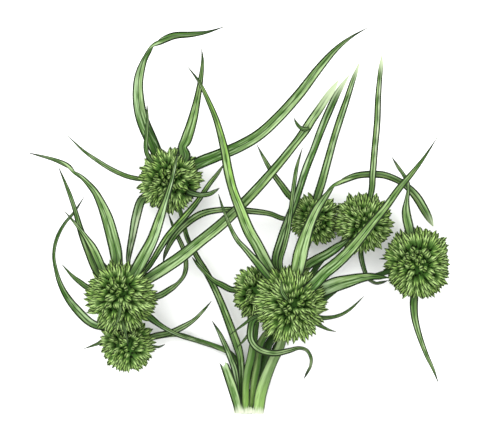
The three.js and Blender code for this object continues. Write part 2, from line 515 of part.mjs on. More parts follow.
// A keeled blade. It runs out to a point unless it is torn off short.
function bladeSolid(path, torn = false) {
  const stations = stationsOf(path, BLADE_STATIONS);
  const last = stations.length - 1;
  const rings = stations.map((station, i) => {
    if (i === last && !torn) return [station.centre];
    return bladeSection(station, i > last - 2 && !torn ? TIP_THICKNESS : BLADE_THICKNESS);
  });
  return closedBody(rings);
}

// A three-angled culm with one angle up.
function culmSolid(path) {
  const rings = stationsOf(path, CULM_STATIONS).map(({ centre, side, face, width }) => {
    const height = width * CULM_HEIGHT;
    const corner = (across, raised) => centre.clone()
      .addScaledVector(side, across).addScaledVector(face, raised);
    return [corner(-width / 2, -height / 3), corner(0, (height * 2) / 3), corner(width / 2, -height / 3)];
  });
  return closedBody(rings);
}

// The torn sheath: a blade that ends blunt, with two ragged teeth.
function tornSheathSolid({ path, teeth }) {
  return teeth.reduce((solid, tooth) => solid.add(bladeSolid(tooth)), bladeSolid(path, true));
}

// The longest bract turns over near its end, and the turned margin stands out as a small hook.
function hookedBractSolid({ path, hook }) {
  return bladeSolid(path).add(bladeSolid(hook));
}

// A ball of triangles, stretched to the head's middle.
function coreSolid({ centre, radii }) {
  const ball = new THREE.IcosahedronGeometry(1, 1);
  ball.deleteAttribute('normal');
  ball.deleteAttribute('uv');
  const merged = mergeVertices(ball, 1e-4);
  merged.scale(...radii.map((radius) => radius * CORE_SHARE));
  merged.translate(...centre);
  return new Manifold(new Mesh({
    numProp: 3,
    vertProperties: merged.attributes.position.array,
    triVerts: new Uint32Array(merged.index.array),
  }));
}

// One lance-shaped spikelet: a root sunk in the head's middle, a wide belly, a sharp tip.
function spikeletSolid(centre, radii, direction, length, turn) {
  const reach = (share) => new THREE.Vector3(...radii).multiply(direction).multiplyScalar(share)
    .add(new THREE.Vector3(...centre));
  const helper = Math.abs(direction.z) < 0.9 ? UP : new THREE.Vector3(1, 0, 0);
  const side = new THREE.Vector3().crossVectors(direction, helper).normalize();
  side.applyAxisAngle(direction, turn);
  const ring = (share, width) => Array.from({ length: SPIKELET_SIDES }, (_, k) => {
    const out = side.clone().applyAxisAngle(direction, (k / SPIKELET_SIDES) * 2 * Math.PI);
    return reach(share).addScaledVector(out, width / 2);
  });
  return closedBody([
    ring(SPIKELET_ROOT_SHARE, SPIKELET_WIDTH * 0.5),
    ring(SPIKELET_BELLY_SHARE, SPIKELET_WIDTH),
    [reach(length)],
  ]);
}

// Keeps the one outer body: a sealed hollow is filled and a loose scrap dropped.
function oneBody(solid) {
  return solid.decompose().reduce((best, part) => (part.volume() > best.volume() ? part : best));
}

// A flower head. Spikelets are spread evenly over the ball with a little disorder, and left out where
// a bract, a culm or a neighbouring head passes. The last points straight down and gives the head its
// resting spot. Small inner bracts grow from among them.
function headSolid({ centre, radii, seed, innerBracts = [] }, neighbours) {
  const random = randomStream(seed);
  const meanRadius = (radii[0] + radii[1] + radii[2]) / 3;
  const count = Math.round(4 * Math.PI * meanRadius * meanRadius * SPIKELETS_PER_MM2);
  const inner = innerBracts.map((path) => bladeSolid(path));
  let solid = coreSolid({ centre, radii });
  for (const blade of inner) solid = solid.add(blade);
  for (let i = 0; i < count; i += 1) {
    const height = 1 - (2 * (i + 0.5)) / count;
    const around = i * Math.PI * (3 - Math.sqrt(5));
    const ringRadius = Math.sqrt(1 - height * height);
    const direction = new THREE.Vector3(ringRadius * Math.cos(around), ringRadius * Math.sin(around), height);
    const disorder = new THREE.Vector3(random() - 0.5, random() - 0.5, random() - 0.5);
    direction.addScaledVector(disorder, SPIKELET_SPREAD).normalize();
    let length = SPIKELET_SHORTEST + (1 - SPIKELET_SHORTEST) * random();
    if (i === count - 1) {
      direction.set(0, 0, -1);
      length = 1;
    }
    const spikelet = spikeletSolid(centre, radii, direction, length, random() * 2 * Math.PI);
    const clear = neighbours.every((other) => spikelet.minGap(other, GAP) >= GAP);
    if (clear) solid = solid.add(spikelet);
  }
  return oneBody(restOnSurface(solid));
}

// Cuts away what would reach below the surface the tuft lies on.
function restOnSurface(solid) {
  const below = new THREE.BoxGeometry(SURFACE_SIZE, SURFACE_SIZE, SURFACE_DEPTH);
  below.deleteAttribute('normal');
  below.deleteAttribute('uv');
  const merged = mergeVertices(below, 1e-4);
  merged.translate(0, 0, -SURFACE_DEPTH / 2);
  const box = new Manifold(new Mesh({
    numProp: 3,
    vertProperties: merged.attributes.position.array,
    triVerts: new Uint32Array(merged.index.array),
  }));
  return solid.subtract(box);
}

// The crown: a stump with bevelled upper edges that tapers a little towards the culms.
function crownSolid({ left, right, bottom, top, height, shoulder, corner }) {
  const outline = (y, inset) => [
    new THREE.Vector3(left + inset, y, 0),
    new THREE.Vector3(right - inset, y, 0),
    new THREE.Vector3(right - inset, y, shoulder),
    new THREE.Vector3(right - inset - corner * 2, y, height - inset),
    new THREE.Vector3(left + inset + corner * 2, y, height - inset),
    new THREE.Vector3(left + inset, y, shoulder),
  ];
  return closedBody([outline(bottom, 0), outline(top, corner / 2)]);
}

function makeMaterial(colour, roughness) {
  return new THREE.MeshStandardMaterial({ color: colour, roughness, metalness: 0 });
}

// A named mesh with its own material.
function meshOf(name, solid, colour, roughness) {
  const { vertProperties, triVerts, numProp } = solid.getMesh();
  const geometry = new THREE.BufferGeometry();
  const positions = new Float32Array((vertProperties.length / numProp) * 3);
  for (let i = 0; i < positions.length / 3; i += 1) {
    for (let k = 0; k < 3; k += 1) positions[i * 3 + k] = vertProperties[i * numProp + k];
  }
  geometry.setAttribute('position', new THREE.BufferAttribute(positions, 3));
  geometry.setIndex(new THREE.BufferAttribute(new Uint32Array(triVerts), 1));
  geometry.computeVertexNormals();
  const mesh = new THREE.Mesh(geometry, makeMaterial(colour, roughness));
  mesh.name = name;
  return mesh;
}

// Only pieces whose boxes come near a head can touch its spikelets.
function nearHead(solid, { centre, radii }) {
  const { min, max } = solid.boundingBox();
  return centre.every((value, k) => min[k] < value + radii[k] + GAP && max[k] > value - radii[k] - GAP);
}

const bracts = Object.entries(BRACTS).map(([name, path]) => [name, bladeSolid(path)]);
bracts.push(['bract_left_longest', hookedBractSolid(LONGEST_BRACT)]);
const leaves = Object.entries(LEAVES).map(([name, path]) => [name, bladeSolid(path)]);
const sheath = tornSheathSolid(TORN_SHEATH);
const culms = Object.entries(CULMS).map(([name, path]) => [name, culmSolid(path)]);
const crown = crownSolid(CROWN);

const tuft = new THREE.Group();
tuft.name = 'cyperus_michelianus';
for (const [name, solid] of bracts) tuft.add(meshOf(name, solid, COLOURS.bract, 0.55));
for (const [name, solid] of leaves) tuft.add(meshOf(name, solid, COLOURS.leaf, 0.55));
tuft.add(meshOf('sheath_broken', sheath, COLOURS.sheath, 0.6));
for (const [name, solid] of culms) tuft.add(meshOf(name, solid, COLOURS.culm, 0.5));
tuft.add(meshOf('crown', crown, COLOURS.crown, 0.7));

// Heads in front are made first; those behind give way to them.
const stems = [...bracts, ...leaves, ...culms].map(([, solid]) => solid);
const finished = [];
for (const [name, head] of Object.entries(HEADS)) {
  const otherCores = Object.values(HEADS).filter((other) => other !== head).map(coreSolid);
  const neighbours = [...stems, ...otherCores, ...finished].filter((solid) => nearHead(solid, head));
  const solid = headSolid(head, neighbours);
  finished.push(solid);
  tuft.add(meshOf(name, solid, COLOURS.head, 0.65));
}

export default tuft;
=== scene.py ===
"""Dwarf flat sedge, Cyperus michelianus: how one cut tuft looks, lying on a pale surface.

Metres in the shared frame: X across the tuft, Y from the cut base to the blade tips, Z up.
A path runs from root to tip. Each of its points is X, Y, Z and the width there, in millimetres,
and, where a blade turns over, its roll in degrees.
"""

import math

import bpy
import numpy as np
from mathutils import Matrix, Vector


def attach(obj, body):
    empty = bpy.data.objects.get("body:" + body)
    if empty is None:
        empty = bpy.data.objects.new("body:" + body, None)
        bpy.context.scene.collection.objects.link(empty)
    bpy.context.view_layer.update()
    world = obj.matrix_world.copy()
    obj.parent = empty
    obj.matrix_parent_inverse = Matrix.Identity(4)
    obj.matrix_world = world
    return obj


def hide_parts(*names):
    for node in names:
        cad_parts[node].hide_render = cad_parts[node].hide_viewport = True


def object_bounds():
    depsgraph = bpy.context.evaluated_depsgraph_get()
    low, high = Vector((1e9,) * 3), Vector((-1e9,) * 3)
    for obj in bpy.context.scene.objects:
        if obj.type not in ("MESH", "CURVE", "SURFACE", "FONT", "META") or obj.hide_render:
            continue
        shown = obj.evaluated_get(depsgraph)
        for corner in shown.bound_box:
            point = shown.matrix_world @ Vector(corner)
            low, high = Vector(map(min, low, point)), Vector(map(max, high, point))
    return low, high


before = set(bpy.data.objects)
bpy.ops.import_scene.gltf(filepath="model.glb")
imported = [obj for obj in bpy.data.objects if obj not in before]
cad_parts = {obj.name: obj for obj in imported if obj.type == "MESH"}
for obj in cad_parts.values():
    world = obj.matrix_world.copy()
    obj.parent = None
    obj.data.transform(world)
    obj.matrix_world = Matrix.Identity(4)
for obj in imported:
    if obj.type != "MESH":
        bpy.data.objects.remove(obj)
cad_box = [list(corner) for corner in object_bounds()]


# The crown is the short pale stump that all culms and leaves rise from. It is a tight pack of
# bleached leaf bases, cut straight across below, so its cut face shows a ring for every base.
# It lies on the surface with its flat underside and is fixed by growth to everything above it.

MM = 0.001

CUT_MM = -38.68
CROWN_MM = {"left": -1.35, "right": 4.8, "bottom": -38.62, "top": -37.0, "height": 6.0}
CROWN_SQUARENESS = 3.2
CROWN_SIDES = 96
CROWN_RIBS = 38
CROWN_RIB_DEPTH = 0.07
CROWN_RIBS_AT_CUT = 0.4
CROWN_RIBS_GROW = 2
CROWN_RAGGEDNESS = 0.3
CROWN_NOTCHES = 7
# From the middle of the cut face round to the top: how far up and how far out each ring lies.
CROWN_RINGS = (
    (0.0, 0.05), (0.0, 0.5), (0.0, 0.9), (0.04, 0.97), (0.3, 1.0), (0.6, 1.0), (0.85, 0.97), (1.0, 0.9),
    (0.8, 0.5),
)
CROWN_FIBRE_SCALE = (4200, 260, 4200)
CROWN_FIBRES = (0.45, 0.66)
CROWN_BASES_SCALE = 900.0
CROWN_SEAMS = (0.05, 0.16)
# Where the crown's colours change, in metres along Y.
CROWN_CUT_FACE = (-0.0386, -0.03855)
CROWN_GREENER = (-0.0384, -0.0372)
CROWN_STREAKED = (-0.0388, -0.0374)

TISSUE_SHEEN = 0.06
TISSUE_RELIEF = 0.5
TISSUE_CREASE = math.radians(50)

GREENS = {
    "line": 0x101A0B,
    "deep": 0x263F19,
    "withered": 0x373A33,
    "green": 0x3E5E28,
    "rich": 0x35591F,
    "scale": 0x5D7D3B,
    "leaf": 0x5B7445,
    "fresh": 0x708852,
    "sunlit": 0x80A450,
    "spikelet_tip": 0x8AA858,
    "glowing": 0xA3BE77,
    "light": 0x829969,
    "mint": 0x93A981,
    "dewy": 0xA9C193,
    "pale": 0xA3AF91,
    "bleached": 0xB6BAA8,
}


def linear(name):
    """The named green as the shader wants it: linear light, opaque."""
    value = GREENS[name]
    channels = [(value >> shift & 255) / 255 for shift in (16, 8, 0)]
    return [c / 12.92 if c <= 0.04045 else ((c + 0.055) / 1.055) ** 2.4 for c in channels] + [1.0]


class Nodes:
    """Short calls for the few kinds of node that the plant's colours and heads are made from."""

    def __init__(self, tree):
        self.tree = tree

    def add(self, kind, inputs=None, output=0, **settings):
        """One output of a new node with these inputs, each a value or another node's output."""
        made = self.tree.nodes.new(kind)
        for key, value in settings.items():
            setattr(made, key, value)
        for key, value in (inputs or {}).items():
            if isinstance(value, bpy.types.NodeSocket):
                self.tree.links.new(value, made.inputs[key])
            else:
                made.inputs[key].default_value = value
        return made.outputs[output]

    def math(self, operation, a, b=0.0):
        return self.add("ShaderNodeMath", {0: a, 1: b}, operation=operation)

    def rise(self, value, span):
        """0 before the span of values, 1 past it, and a smooth rise within."""
        inputs = {"Value": value, "From Min": span[0], "From Max": span[1]}
        return self.add("ShaderNodeMapRange", inputs, interpolation_type="SMOOTHSTEP")

    def fall(self, value, span):
        """1 before the span of values, 0 past it, and a smooth fall within."""
        return self.rise(value, span[::-1])

    def mix(self, share, a, b):
        return self.add("ShaderNodeMix", {0: share, 6: a, 7: b}, 2, data_type="RGBA")

    def coats(self, colour, *coats):
        """The colour under coats of named greens, each with its strength and where it lies."""
        for green, strength, where in coats:
            colour = self.mix(self.math("MULTIPLY", where, strength), colour, linear(green))
        return colour

    def noise(self, vector, scale, detail=2.0):
        return self.add("ShaderNodeTexNoise", {"Vector": vector, "Scale": scale, "Detail": detail})

    def streaks(self, place, fineness):
        """Noise drawn out along a piece, as its fibres and veins are."""
        drawn = self.add("ShaderNodeMapping", {"Vector": place, "Scale": fineness})
        return self.noise(drawn, scale=1.0, detail=3.0)

    def axis(self, letter, vector):
        return self.add("ShaderNodeSeparateXYZ", {0: vector}, letter)

    def spot(self):
        """The place in the tuft."""
        return self.add("ShaderNodeTexCoord", output="Object")

    def place_on(self, name):
        """The place on a piece by its UV map of that name: as a vector, and its two values."""
        place = self.add("ShaderNodeUVMap", uv_map=name)
        return place, self.axis("X", place), self.axis("Y", place)


def tissue(name, colour_of, roughness, relief_mm):
    """A material of plant tissue. colour_of(nodes) gives the colour and the height of its relief."""
    material = bpy.data.materials.new(name)
    material.use_nodes = True
    nodes = Nodes(material.node_tree)
    shader = material.node_tree.nodes["Principled BSDF"]
    shader.inputs["Roughness"].default_value = roughness
    shader.inputs["Specular IOR Level"].default_value = TISSUE_SHEEN
    colour, height = colour_of(nodes)
    relief = {"Strength": TISSUE_RELIEF, "Distance": relief_mm * MM, "Height": height}
    material.node_tree.links.new(colour, shader.inputs["Base Color"])
    material.node_tree.links.new(nodes.add("ShaderNodeBump", relief), shader.inputs["Normal"])
    return material


def add_piece(name, rings, maps, material, node=None):
    """A closed tube of rings as one piece, cut off at the crown's foot and flat on the surface.

    maps gives, for each UV map, a pair for every point.
    """
    rings = np.maximum(np.asarray(rings), (-math.inf, CUT_MM, 0.0)) * MM
    count, size = rings.shape[:2]
    faces = [
        (i * size + k, i * size + (k + 1) % size, (i + 1) * size + (k + 1) % size, (i + 1) * size + k)
        for i in range(count - 1)
        for k in range(size)
    ]
    faces += [tuple(range(size))[::-1], tuple(range((count - 1) * size, count * size))]
    mesh = bpy.data.meshes.new(name)
    mesh.from_pydata(rings.reshape(-1, 3).tolist(), [], faces)
    for map_name, pairs in maps.items():
        layer = mesh.uv_layers.new(name=map_name)
        corners = np.empty(len(mesh.loops), int)
        mesh.loops.foreach_get("vertex_index", corners)
        layer.data.foreach_set("uv", np.asarray(pairs, float).reshape(-1, 2)[corners].ravel())
    mesh.validate()
    mesh.shade_smooth()
    mesh.set_sharp_from_angle(angle=TISSUE_CREASE)
    mesh.materials.append(material)
    piece = bpy.data.objects.new(f"{name}_tissue", mesh)
    bpy.context.scene.collection.objects.link(piece)
    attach(piece, "root")
    if node:
        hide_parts(node)


def crown_colours(nodes):
    """Bleached fibres that run up the stump, greener where the culms leave it, and its cut face."""
    spot = nodes.spot()
    y = nodes.axis("Y", spot)
    fibres = nodes.streaks(spot, CROWN_FIBRE_SCALE)
    cells = {"Vector": spot, "Scale": CROWN_BASES_SCALE}
    bases = nodes.add("ShaderNodeTexVoronoi", cells, feature="DISTANCE_TO_EDGE")
    streaked = nodes.math("MULTIPLY", nodes.rise(fibres, CROWN_FIBRES), nodes.rise(y, CROWN_STREAKED))
    on_cut = nodes.fall(y, CROWN_CUT_FACE)
    colour = nodes.coats(
        nodes.mix(nodes.rise(y, CROWN_GREENER), linear("bleached"), linear("pale")),
        ("leaf", 0.6, streaked),
        ("light", 0.55, on_cut),
        ("green", 1.0, nodes.math("MULTIPLY", on_cut, nodes.fall(bases, CROWN_SEAMS))),
    )
    return colour, fibres


def crown_rings():
    """Rings from the cut face to the top: a squarish outline, ribbed by the leaf bases round it."""
    half_width = (CROWN_MM["right"] - CROWN_MM["left"]) / 2
    middle = (CROWN_MM["right"] + CROWN_MM["left"]) / 2
    half_height = CROWN_MM["height"] / 2
    rings = []
    for rise, share in CROWN_RINGS:
        ring = []
        for angle in np.arange(CROWN_SIDES) * 2 * math.pi / CROWN_SIDES:
            c, s = math.cos(angle), math.sin(angle)
            squared = (abs(c) ** CROWN_SQUARENESS + abs(s) ** CROWN_SQUARENESS) ** (-1 / CROWN_SQUARENESS)
            groove = 0.5 + 0.5 * math.cos(CROWN_RIBS * angle)
            notch = 0.5 + 0.5 * math.sin(CROWN_NOTCHES * angle)
            ribbed = min(1.0, CROWN_RIBS_AT_CUT + CROWN_RIBS_GROW * rise)
            reach = squared * share * (1 - CROWN_RIB_DEPTH * groove * ribbed)
            ragged = 1 - CROWN_RAGGEDNESS * (groove + notch) * rise
            x = middle + half_width * c * reach
            y = CROWN_MM["bottom"] + rise * ragged * (CROWN_MM["top"] - CROWN_MM["bottom"])
            z = half_height * (1 + s * reach)
            ring.append((x, y, max(z, 0.0)))
        rings.append(ring)
    return rings


crown_material = tissue("crown", crown_colours, roughness=0.7, relief_mm=0.08)
add_piece("crown", crown_rings(), {}, crown_material, "crown")


# The culms are the eight flower stems. Each is a solid, smooth, three-angled green stalk, pale at
# the foot where the leaf bases kept light off it. They stand in the crown down to its cut, lie over
# each other in layers, and each ends inside its flower head.

CULM_FULLNESS = 1.07
CULM_HEIGHT = 0.8
CULM_ROUNDING = (0.22, 0.25)
CULM_STEPS = 6
CULM_STREAKS = (12.6, 0.49, 1.4)
CULM_DARK_STREAKS = (0.5, 0.7)
# Where a culm's colours change: across it in shares of its width, up it in millimetres.
CULM_FACES_MEET = (-0.06, 0.1)
CULM_RIDGE = (0.02, 0.12)
CULM_EDGE = (0.36, 0.46)
CULM_CUT = (0.0, 0.05)
CULM_PALE_FOOT = (1.3, 2.9)
CULM_FOOT_FRAY = 2.4
CULM_SUNLIT_FOOT = (2.0, 9.0)

CULMS = {
    "culm_centre_front": [
        (3.8, -37.1, 5.3, 2.2), (4.1, -34.9, 5.3, 2.3), (5.0, -31.9, 5.3, 2.2), (5.9, -29.6, 5.4, 2.0),
        (6.9, -27.4, 5.7, 1.9), (8.1, -25.0, 6.3, 1.7), (9.2, -20.3, 8.6, 1.6),
    ],
    "culm_centre_back": [
        (1.1, -37.1, 5.4, 1.4), (1.2, -32.9, 5.5, 1.4), (1.6, -29.9, 5.7, 1.5), (2.2, -27.5, 5.8, 1.6),
        (2.6, -25.1, 5.6, 1.5), (2.9, -22.7, 5.2, 1.4), (3.4, -19.0, 4.9, 1.2),
    ],
    "culm_middle": [
        (2.2, -37.1, 4.1, 0.84), (2.6, -33.9, 4.3, 1.2), (2.9, -31.7, 4.6, 1.5), (3.3, -29.6, 4.5, 1.5),
        (3.6, -27.5, 4.4, 1.4), (4.0, -24.9, 4.4, 1.4), (5.1, -22.9, 4.2, 1.3), (7.4, -20.5, 4.0, 1.1),
        (10.2, -17.7, 3.8, 1.1), (11.8, -13.9, 3.8, 1.1), (12.3, -9.9, 4.0, 1.1), (13.0, -6.5, 4.4, 1.1),
        (14.1, -3.6, 4.8, 1.0),
    ],
    "culm_mid_right": [
        (3.0, -37.1, 3.1, 1.0), (3.5, -32.9, 3.1, 1.2), (4.2, -29.6, 3.0, 1.4), (5.0, -27.3, 2.9, 1.6),
        (5.7, -24.9, 2.8, 1.6), (7.2, -22.8, 2.7, 1.4), (9.4, -20.7, 2.7, 1.1), (12.2, -16.7, 3.0, 1.1),
        (14.2, -11.3, 3.9, 1.1), (16.8, -7.4, 4.8, 1.1), (20.0, -4.8, 5.4, 1.0), (21.4, -3.5, 5.6, 1.0),
    ],
    "culm_right": [
        (3.9, -37.1, 1.4, 1.2), (4.7, -33.3, 1.4, 1.2), (5.6, -29.9, 1.4, 1.2), (6.4, -27.5, 1.5, 1.2),
        (7.4, -25.1, 1.6, 1.2), (9.4, -22.4, 1.8, 1.2), (12.4, -19.7, 2.5, 1.1), (15.8, -16.7, 3.6, 1.1),
        (19.8, -13.4, 4.9, 1.1), (23.4, -11.9, 5.7, 1.1), (26.6, -11.2, 6.0, 1.0), (29.4, -10.3, 6.3, 1.0),
        (30.9, -9.8, 6.5, 1.0),
    ],
    "culm_upper_left": [
        (1.6, -37.1, 3.1, 1.0), (1.2, -33.1, 3.1, 1.0), (0.5, -29.3, 3.0, 1.0), (-0.6, -24.5, 2.8, 1.0),
        (-3.6, -16.9, 2.6, 1.0), (-7.2, -9.6, 2.5, 0.94), (-10.2, -4.3, 2.6, 0.92), (-11.1, -1.5, 2.9, 0.9),
        (-11.8, 1.3, 3.3, 0.88), (-12.6, 3.5, 3.9, 0.88),
    ],
    "culm_left": [
        (2.2, -37.1, 1.9, 1.0), (1.2, -33.5, 1.9, 1.0), (-0.1, -29.5, 1.9, 1.0), (-1.9, -26.7, 1.9, 1.0),
        (-4.8, -25.3, 1.9, 1.0), (-8.8, -24.0, 1.9, 1.0), (-12.4, -22.9, 2.1, 0.94),
        (-15.4, -21.4, 3.2, 0.92), (-18.4, -19.5, 5.0, 0.92), (-19.7, -18.4, 6.0, 0.92),
    ],
    "culm_lower_left": [
        (2.8, -37.0, 0.6, 1.0), (1.2, -33.5, 0.6, 1.0), (-0.1, -29.5, 0.6, 1.0), (-1.9, -26.7, 0.6, 1.0),
        (-4.8, -25.3, 0.6, 1.0), (-8.8, -24.0, 0.6, 1.0), (-12.4, -22.9, 0.7, 0.94),
        (-15.4, -23.1, 1.5, 0.92), (-17.8, -23.6, 2.8, 0.92), (-18.7, -23.9, 3.4, 0.92),
    ],
}

# The greens of each culm's left and right face, seen with its foot below: the lighter face is painted light
# and the darker one painted shade. culm_mid_right is painted deep green all over as shade in the gap behind
# the culms in front of it.
CULM_FACES = {
    "culm_centre_front": ("light", "leaf"),
    "culm_centre_back": ("leaf", "green"),
    "culm_middle": ("fresh", "green"),
    "culm_mid_right": ("deep", "deep"),
    "culm_right": ("deep", "deep"),
    "culm_upper_left": ("leaf", "green"),
    "culm_left": ("leaf", "green"),
    "culm_lower_left": ("leaf", "green"),
}

# What a spikelet of a head may not grow into: points on every culm and blade, in millimetres.
passing = []


def smooth(rows, steps):
    """A smooth curve through rows of numbers, with that many steps from row to row."""
    rows = np.asarray(rows, float)
    last = len(rows) - 1
    samples = []
    for i in range(last):
        before, here, there, after = (rows[min(max(j, 0), last)] for j in (i - 1, i, i + 1, i + 2))
        slope_in, slope_out = (there - before) / 2, (after - here) / 2
        for t in np.arange(steps) / steps:
            samples.append(
                here * (2 * t**3 - 3 * t**2 + 1)
                + slope_in * (t**3 - 2 * t**2 + t)
                + there * (3 * t**2 - 2 * t**3)
                + slope_out * (t**3 - t**2)
            )
    return np.array(samples + [rows[last]])


def rooted(path):
    """A path that starts above the crown, carried on down into it as far as its cut face."""
    (x, y, z, w), (nx, ny) = path[0][:4], path[1][:2]
    onward = (y - CUT_MM) / (ny - y)
    return [(x - (nx - x) * onward, CUT_MM, z, w), *path]


def stations(path, steps):
    """Centre, sideways and facing direction, width and distance from the root along a path."""
    rows = smooth([tuple(p) + (0,) * (5 - len(p)) for p in path], steps)
    centre, width, roll = rows[:, :3], rows[:, 3], np.radians(rows[:, 4:5])
    ahead = np.gradient(centre, axis=0)
    ahead /= np.linalg.norm(ahead, axis=1, keepdims=True)
    side = np.cross(ahead, (0, 0, 1))
    side /= np.linalg.norm(side, axis=1, keepdims=True)
    level = (side, np.cross(side, ahead))
    side, face = (way * np.cos(roll) + np.cross(ahead, way) * np.sin(roll) for way in level)
    stretch = np.linalg.norm(np.diff(centre, axis=0), axis=1)
    along = np.concatenate([[0.0], np.cumsum(stretch)])
    return centre, side, face, width, along


def remember(centre, side, width):
    """Notes where a culm or blade passes, edge to edge."""
    for across in (-0.5, -0.25, 0.0, 0.25, 0.5):
        passing.append(centre + side * (width * across)[:, None])


def culm_section():
    """The three angles of a culm's section, rounded off, as (across, up) shares of its width."""
    points = [(-0.5, -CULM_HEIGHT / 3), (0.0, CULM_HEIGHT * 2 / 3), (0.5, -CULM_HEIGHT / 3)]
    for cut in CULM_ROUNDING:
        rounded = []
        for k, (x, y) in enumerate(points):
            nx, ny = points[(k + 1) % len(points)]
            rounded.append((x + (nx - x) * cut, y + (ny - y) * cut))
            rounded.append((nx + (x - nx) * cut, ny + (y - ny) * cut))
        points = rounded
    widest = max(abs(x) for x, y in points)
    return [(0.5 * x / widest, y) for x, y in points[::-1]]


def culm_colours(left, right):
    """The colours of a culm: two faces, one painted lit and one in painted shade, dark lines down its
    angles, and fine lines along it.
    """

    def colours(nodes):
        place, across, along = nodes.place_on("culm")
        off_ridge = nodes.math("ABSOLUTE", across)
        streaks = nodes.streaks(place, CULM_STREAKS)
        frayed = nodes.math("ADD", along, nodes.math("MULTIPLY", streaks, CULM_FOOT_FRAY))
        colour = nodes.coats(
            # The two faces: the lighter one painted light, the darker one painted shade.
            nodes.mix(nodes.rise(across, CULM_FACES_MEET), linear(left), linear(right)),
            ("sunlit", 0.5, nodes.fall(along, CULM_SUNLIT_FOOT)),
            ("deep", 0.5, nodes.rise(streaks, CULM_DARK_STREAKS)),
            ("deep", 0.35, nodes.fall(off_ridge, CULM_RIDGE)),
            ("line", 0.9, nodes.rise(off_ridge, CULM_EDGE)),
            ("bleached", 0.92, nodes.fall(frayed, CULM_PALE_FOOT)),
            ("fresh", 0.6, nodes.fall(along, CULM_CUT)),
        )
        return colour, streaks

    return colours


section = culm_section()
for name, path in CULMS.items():
    centre, side, face, width, along = stations(rooted(path), CULM_STEPS)
    remember(centre, side, width)
    rings = [
        [c + s * w * CULM_FULLNESS * x + f * w * y for x, y in section]
        for c, s, f, w in zip(centre, side, face, width)
    ]
    places = [[(x, a) for x, y in section] for a in along]
    material = tissue(name, culm_colours(*CULM_FACES[name]), roughness=0.45, relief_mm=0.04)
    add_piece(name, rings, {"culm": places}, material, name)


# The two leaves at the base are long keeled blades of fresh green tissue, thin as paper. They are
# folded along a midrib that stands out below as a keel, and run out to a point. They grow from the
# crown behind the culms.

BLADE_STEPS = 7
BLADE_STEPS_NOTED = 4
BLADE_ACROSS = [-1.0, -0.86, -0.62, -0.36, -0.13, 0.0, 0.13, 0.36, 0.62, 0.86, 1.0]
# The form of a blade across: how high its margins stand, and how each half bows up to them.
BLADE_FOLD = 0.16
BLADE_HOLLOW = 1.15
BLADE_BOW = 0.25
# Its thickness in millimetres: most at the keel, none at the very margin, less where it is narrow.
BLADE_MARGIN_THICKNESS = 0.1
BLADE_KEEL_THICKNESS = 0.4
BLADE_KEEL_SPREAD = 0.16
BLADE_MARGIN_SHARPNESS = 6
BLADE_THIN_BELOW = 1.2
# Blades narrower than this have a dark rim narrowed with them.
BLADE_FULL_RIM = 1.3
BLADE_STREAKS = (3.38, 0.182, 1.3)
BLADE_DARK_STREAKS = (0.5, 0.62)
BLADE_LIGHT_STREAKS = (0.36, 0.48)
BLADE_CLOUD_SCALE = 0.35
BLADE_CLOUDS = (0.3, 0.65)
# Where a blade's colours change: across it in millimetres, along it in shares of its length.
BLADE_HALVES_MEET = (-0.03, 0.03)
BLADE_RIB = (0.05, 0.13)
BLADE_SHADE_BESIDE_RIB = (0.05, 0.65)
BLADE_RIM = (0.24, 0.38)
BLADE_BEYOND = (0.25, 0.6)
BLADE_BEYOND_WANDER = 0.3
BLADE_TURN_BLUR = 0.02
BLADE_TIP_LENGTH = 0.12
BLADE_ROOT_MM = 0.5

LEAVES = {
    "leaf_long": dict(
        left=("green", "leaf"), right=("leaf", "fresh"), root="bleached", root_length=2.6,
        path=[
            (0.2, -37.1, 3.9, 1.0), (0.3, -33.1, 3.9, 1.2), (0.2, -29.5, 4.2, 1.5), (0.0, -27.1, 4.6, 1.6),
            (-0.6, -24.9, 4.8, 1.8), (-1.8, -21.6, 5.2, 1.7), (-3.6, -16.9, 5.1, 1.5),
            (-5.4, -12.9, 5.0, 1.4), (-7.2, -9.6, 4.8, 1.3), (-8.8, -7.0, 4.6, 1.0),
            (-9.9, -4.6, 4.4, 0.64), (-11.0, -2.3, 4.2, 0.1),
        ],
    ),
    "leaf_short": dict(
        left=("leaf", "mint"), right=("leaf", "leaf"), root="bleached", root_length=2.6,
        path=[
            (-0.4, -37.0, 5.0, 0.88), (-0.5, -33.3, 5.0, 1.1), (-1.0, -30.1, 5.0, 1.4),
            (-1.9, -27.5, 4.9, 1.3), (-3.0, -24.9, 4.6, 1.1), (-4.2, -22.4, 4.2, 0.76),
            (-5.6, -20.1, 3.8, 0.1),
        ],
    ),
}


def blade_rings(path):
    """Rings of a keeled blade, and its UV maps.

    "blade" is the place across and along it in millimetres, "edge" the distance from the margin in
    millimetres and the share of the length.
    """
    centre, side, face, width, along = stations(path, BLADE_STEPS)
    across = np.array(BLADE_ACROSS)
    share = along / along[-1]
    reach = np.abs(across)
    bow = 2 * reach**BLADE_HOLLOW - 1 + BLADE_BOW * np.sin(math.pi * reach)
    keel = BLADE_KEEL_THICKNESS * np.exp(-((across / BLADE_KEEL_SPREAD) ** 2))
    thickness = (BLADE_MARGIN_THICKNESS + keel) * (1 - reach**BLADE_MARGIN_SHARPNESS)
    rings, places, edges = [], [], []
    for i, (c, s, f, w) in enumerate(zip(centre, side, face, width)):
        top = w * BLADE_FOLD / 2 * bow
        bottom = top - thickness * min(1.0, w / BLADE_THIN_BELOW)
        upper, lower = ([c + s * a * w / 2 + f * up for a, up in zip(across, ups)] for ups in (top, bottom))
        place = [(a * w / 2, along[i]) for a in across]
        edge = [((1 - r) * w / 2 * max(1.0, BLADE_FULL_RIM / w), share[i]) for r in reach]
        rings.append(upper + lower[-2:0:-1])
        places.append(place + place[-2:0:-1])
        edges.append(edge + edge[-2:0:-1])
    return np.array(rings), {"blade": places, "edge": edges}


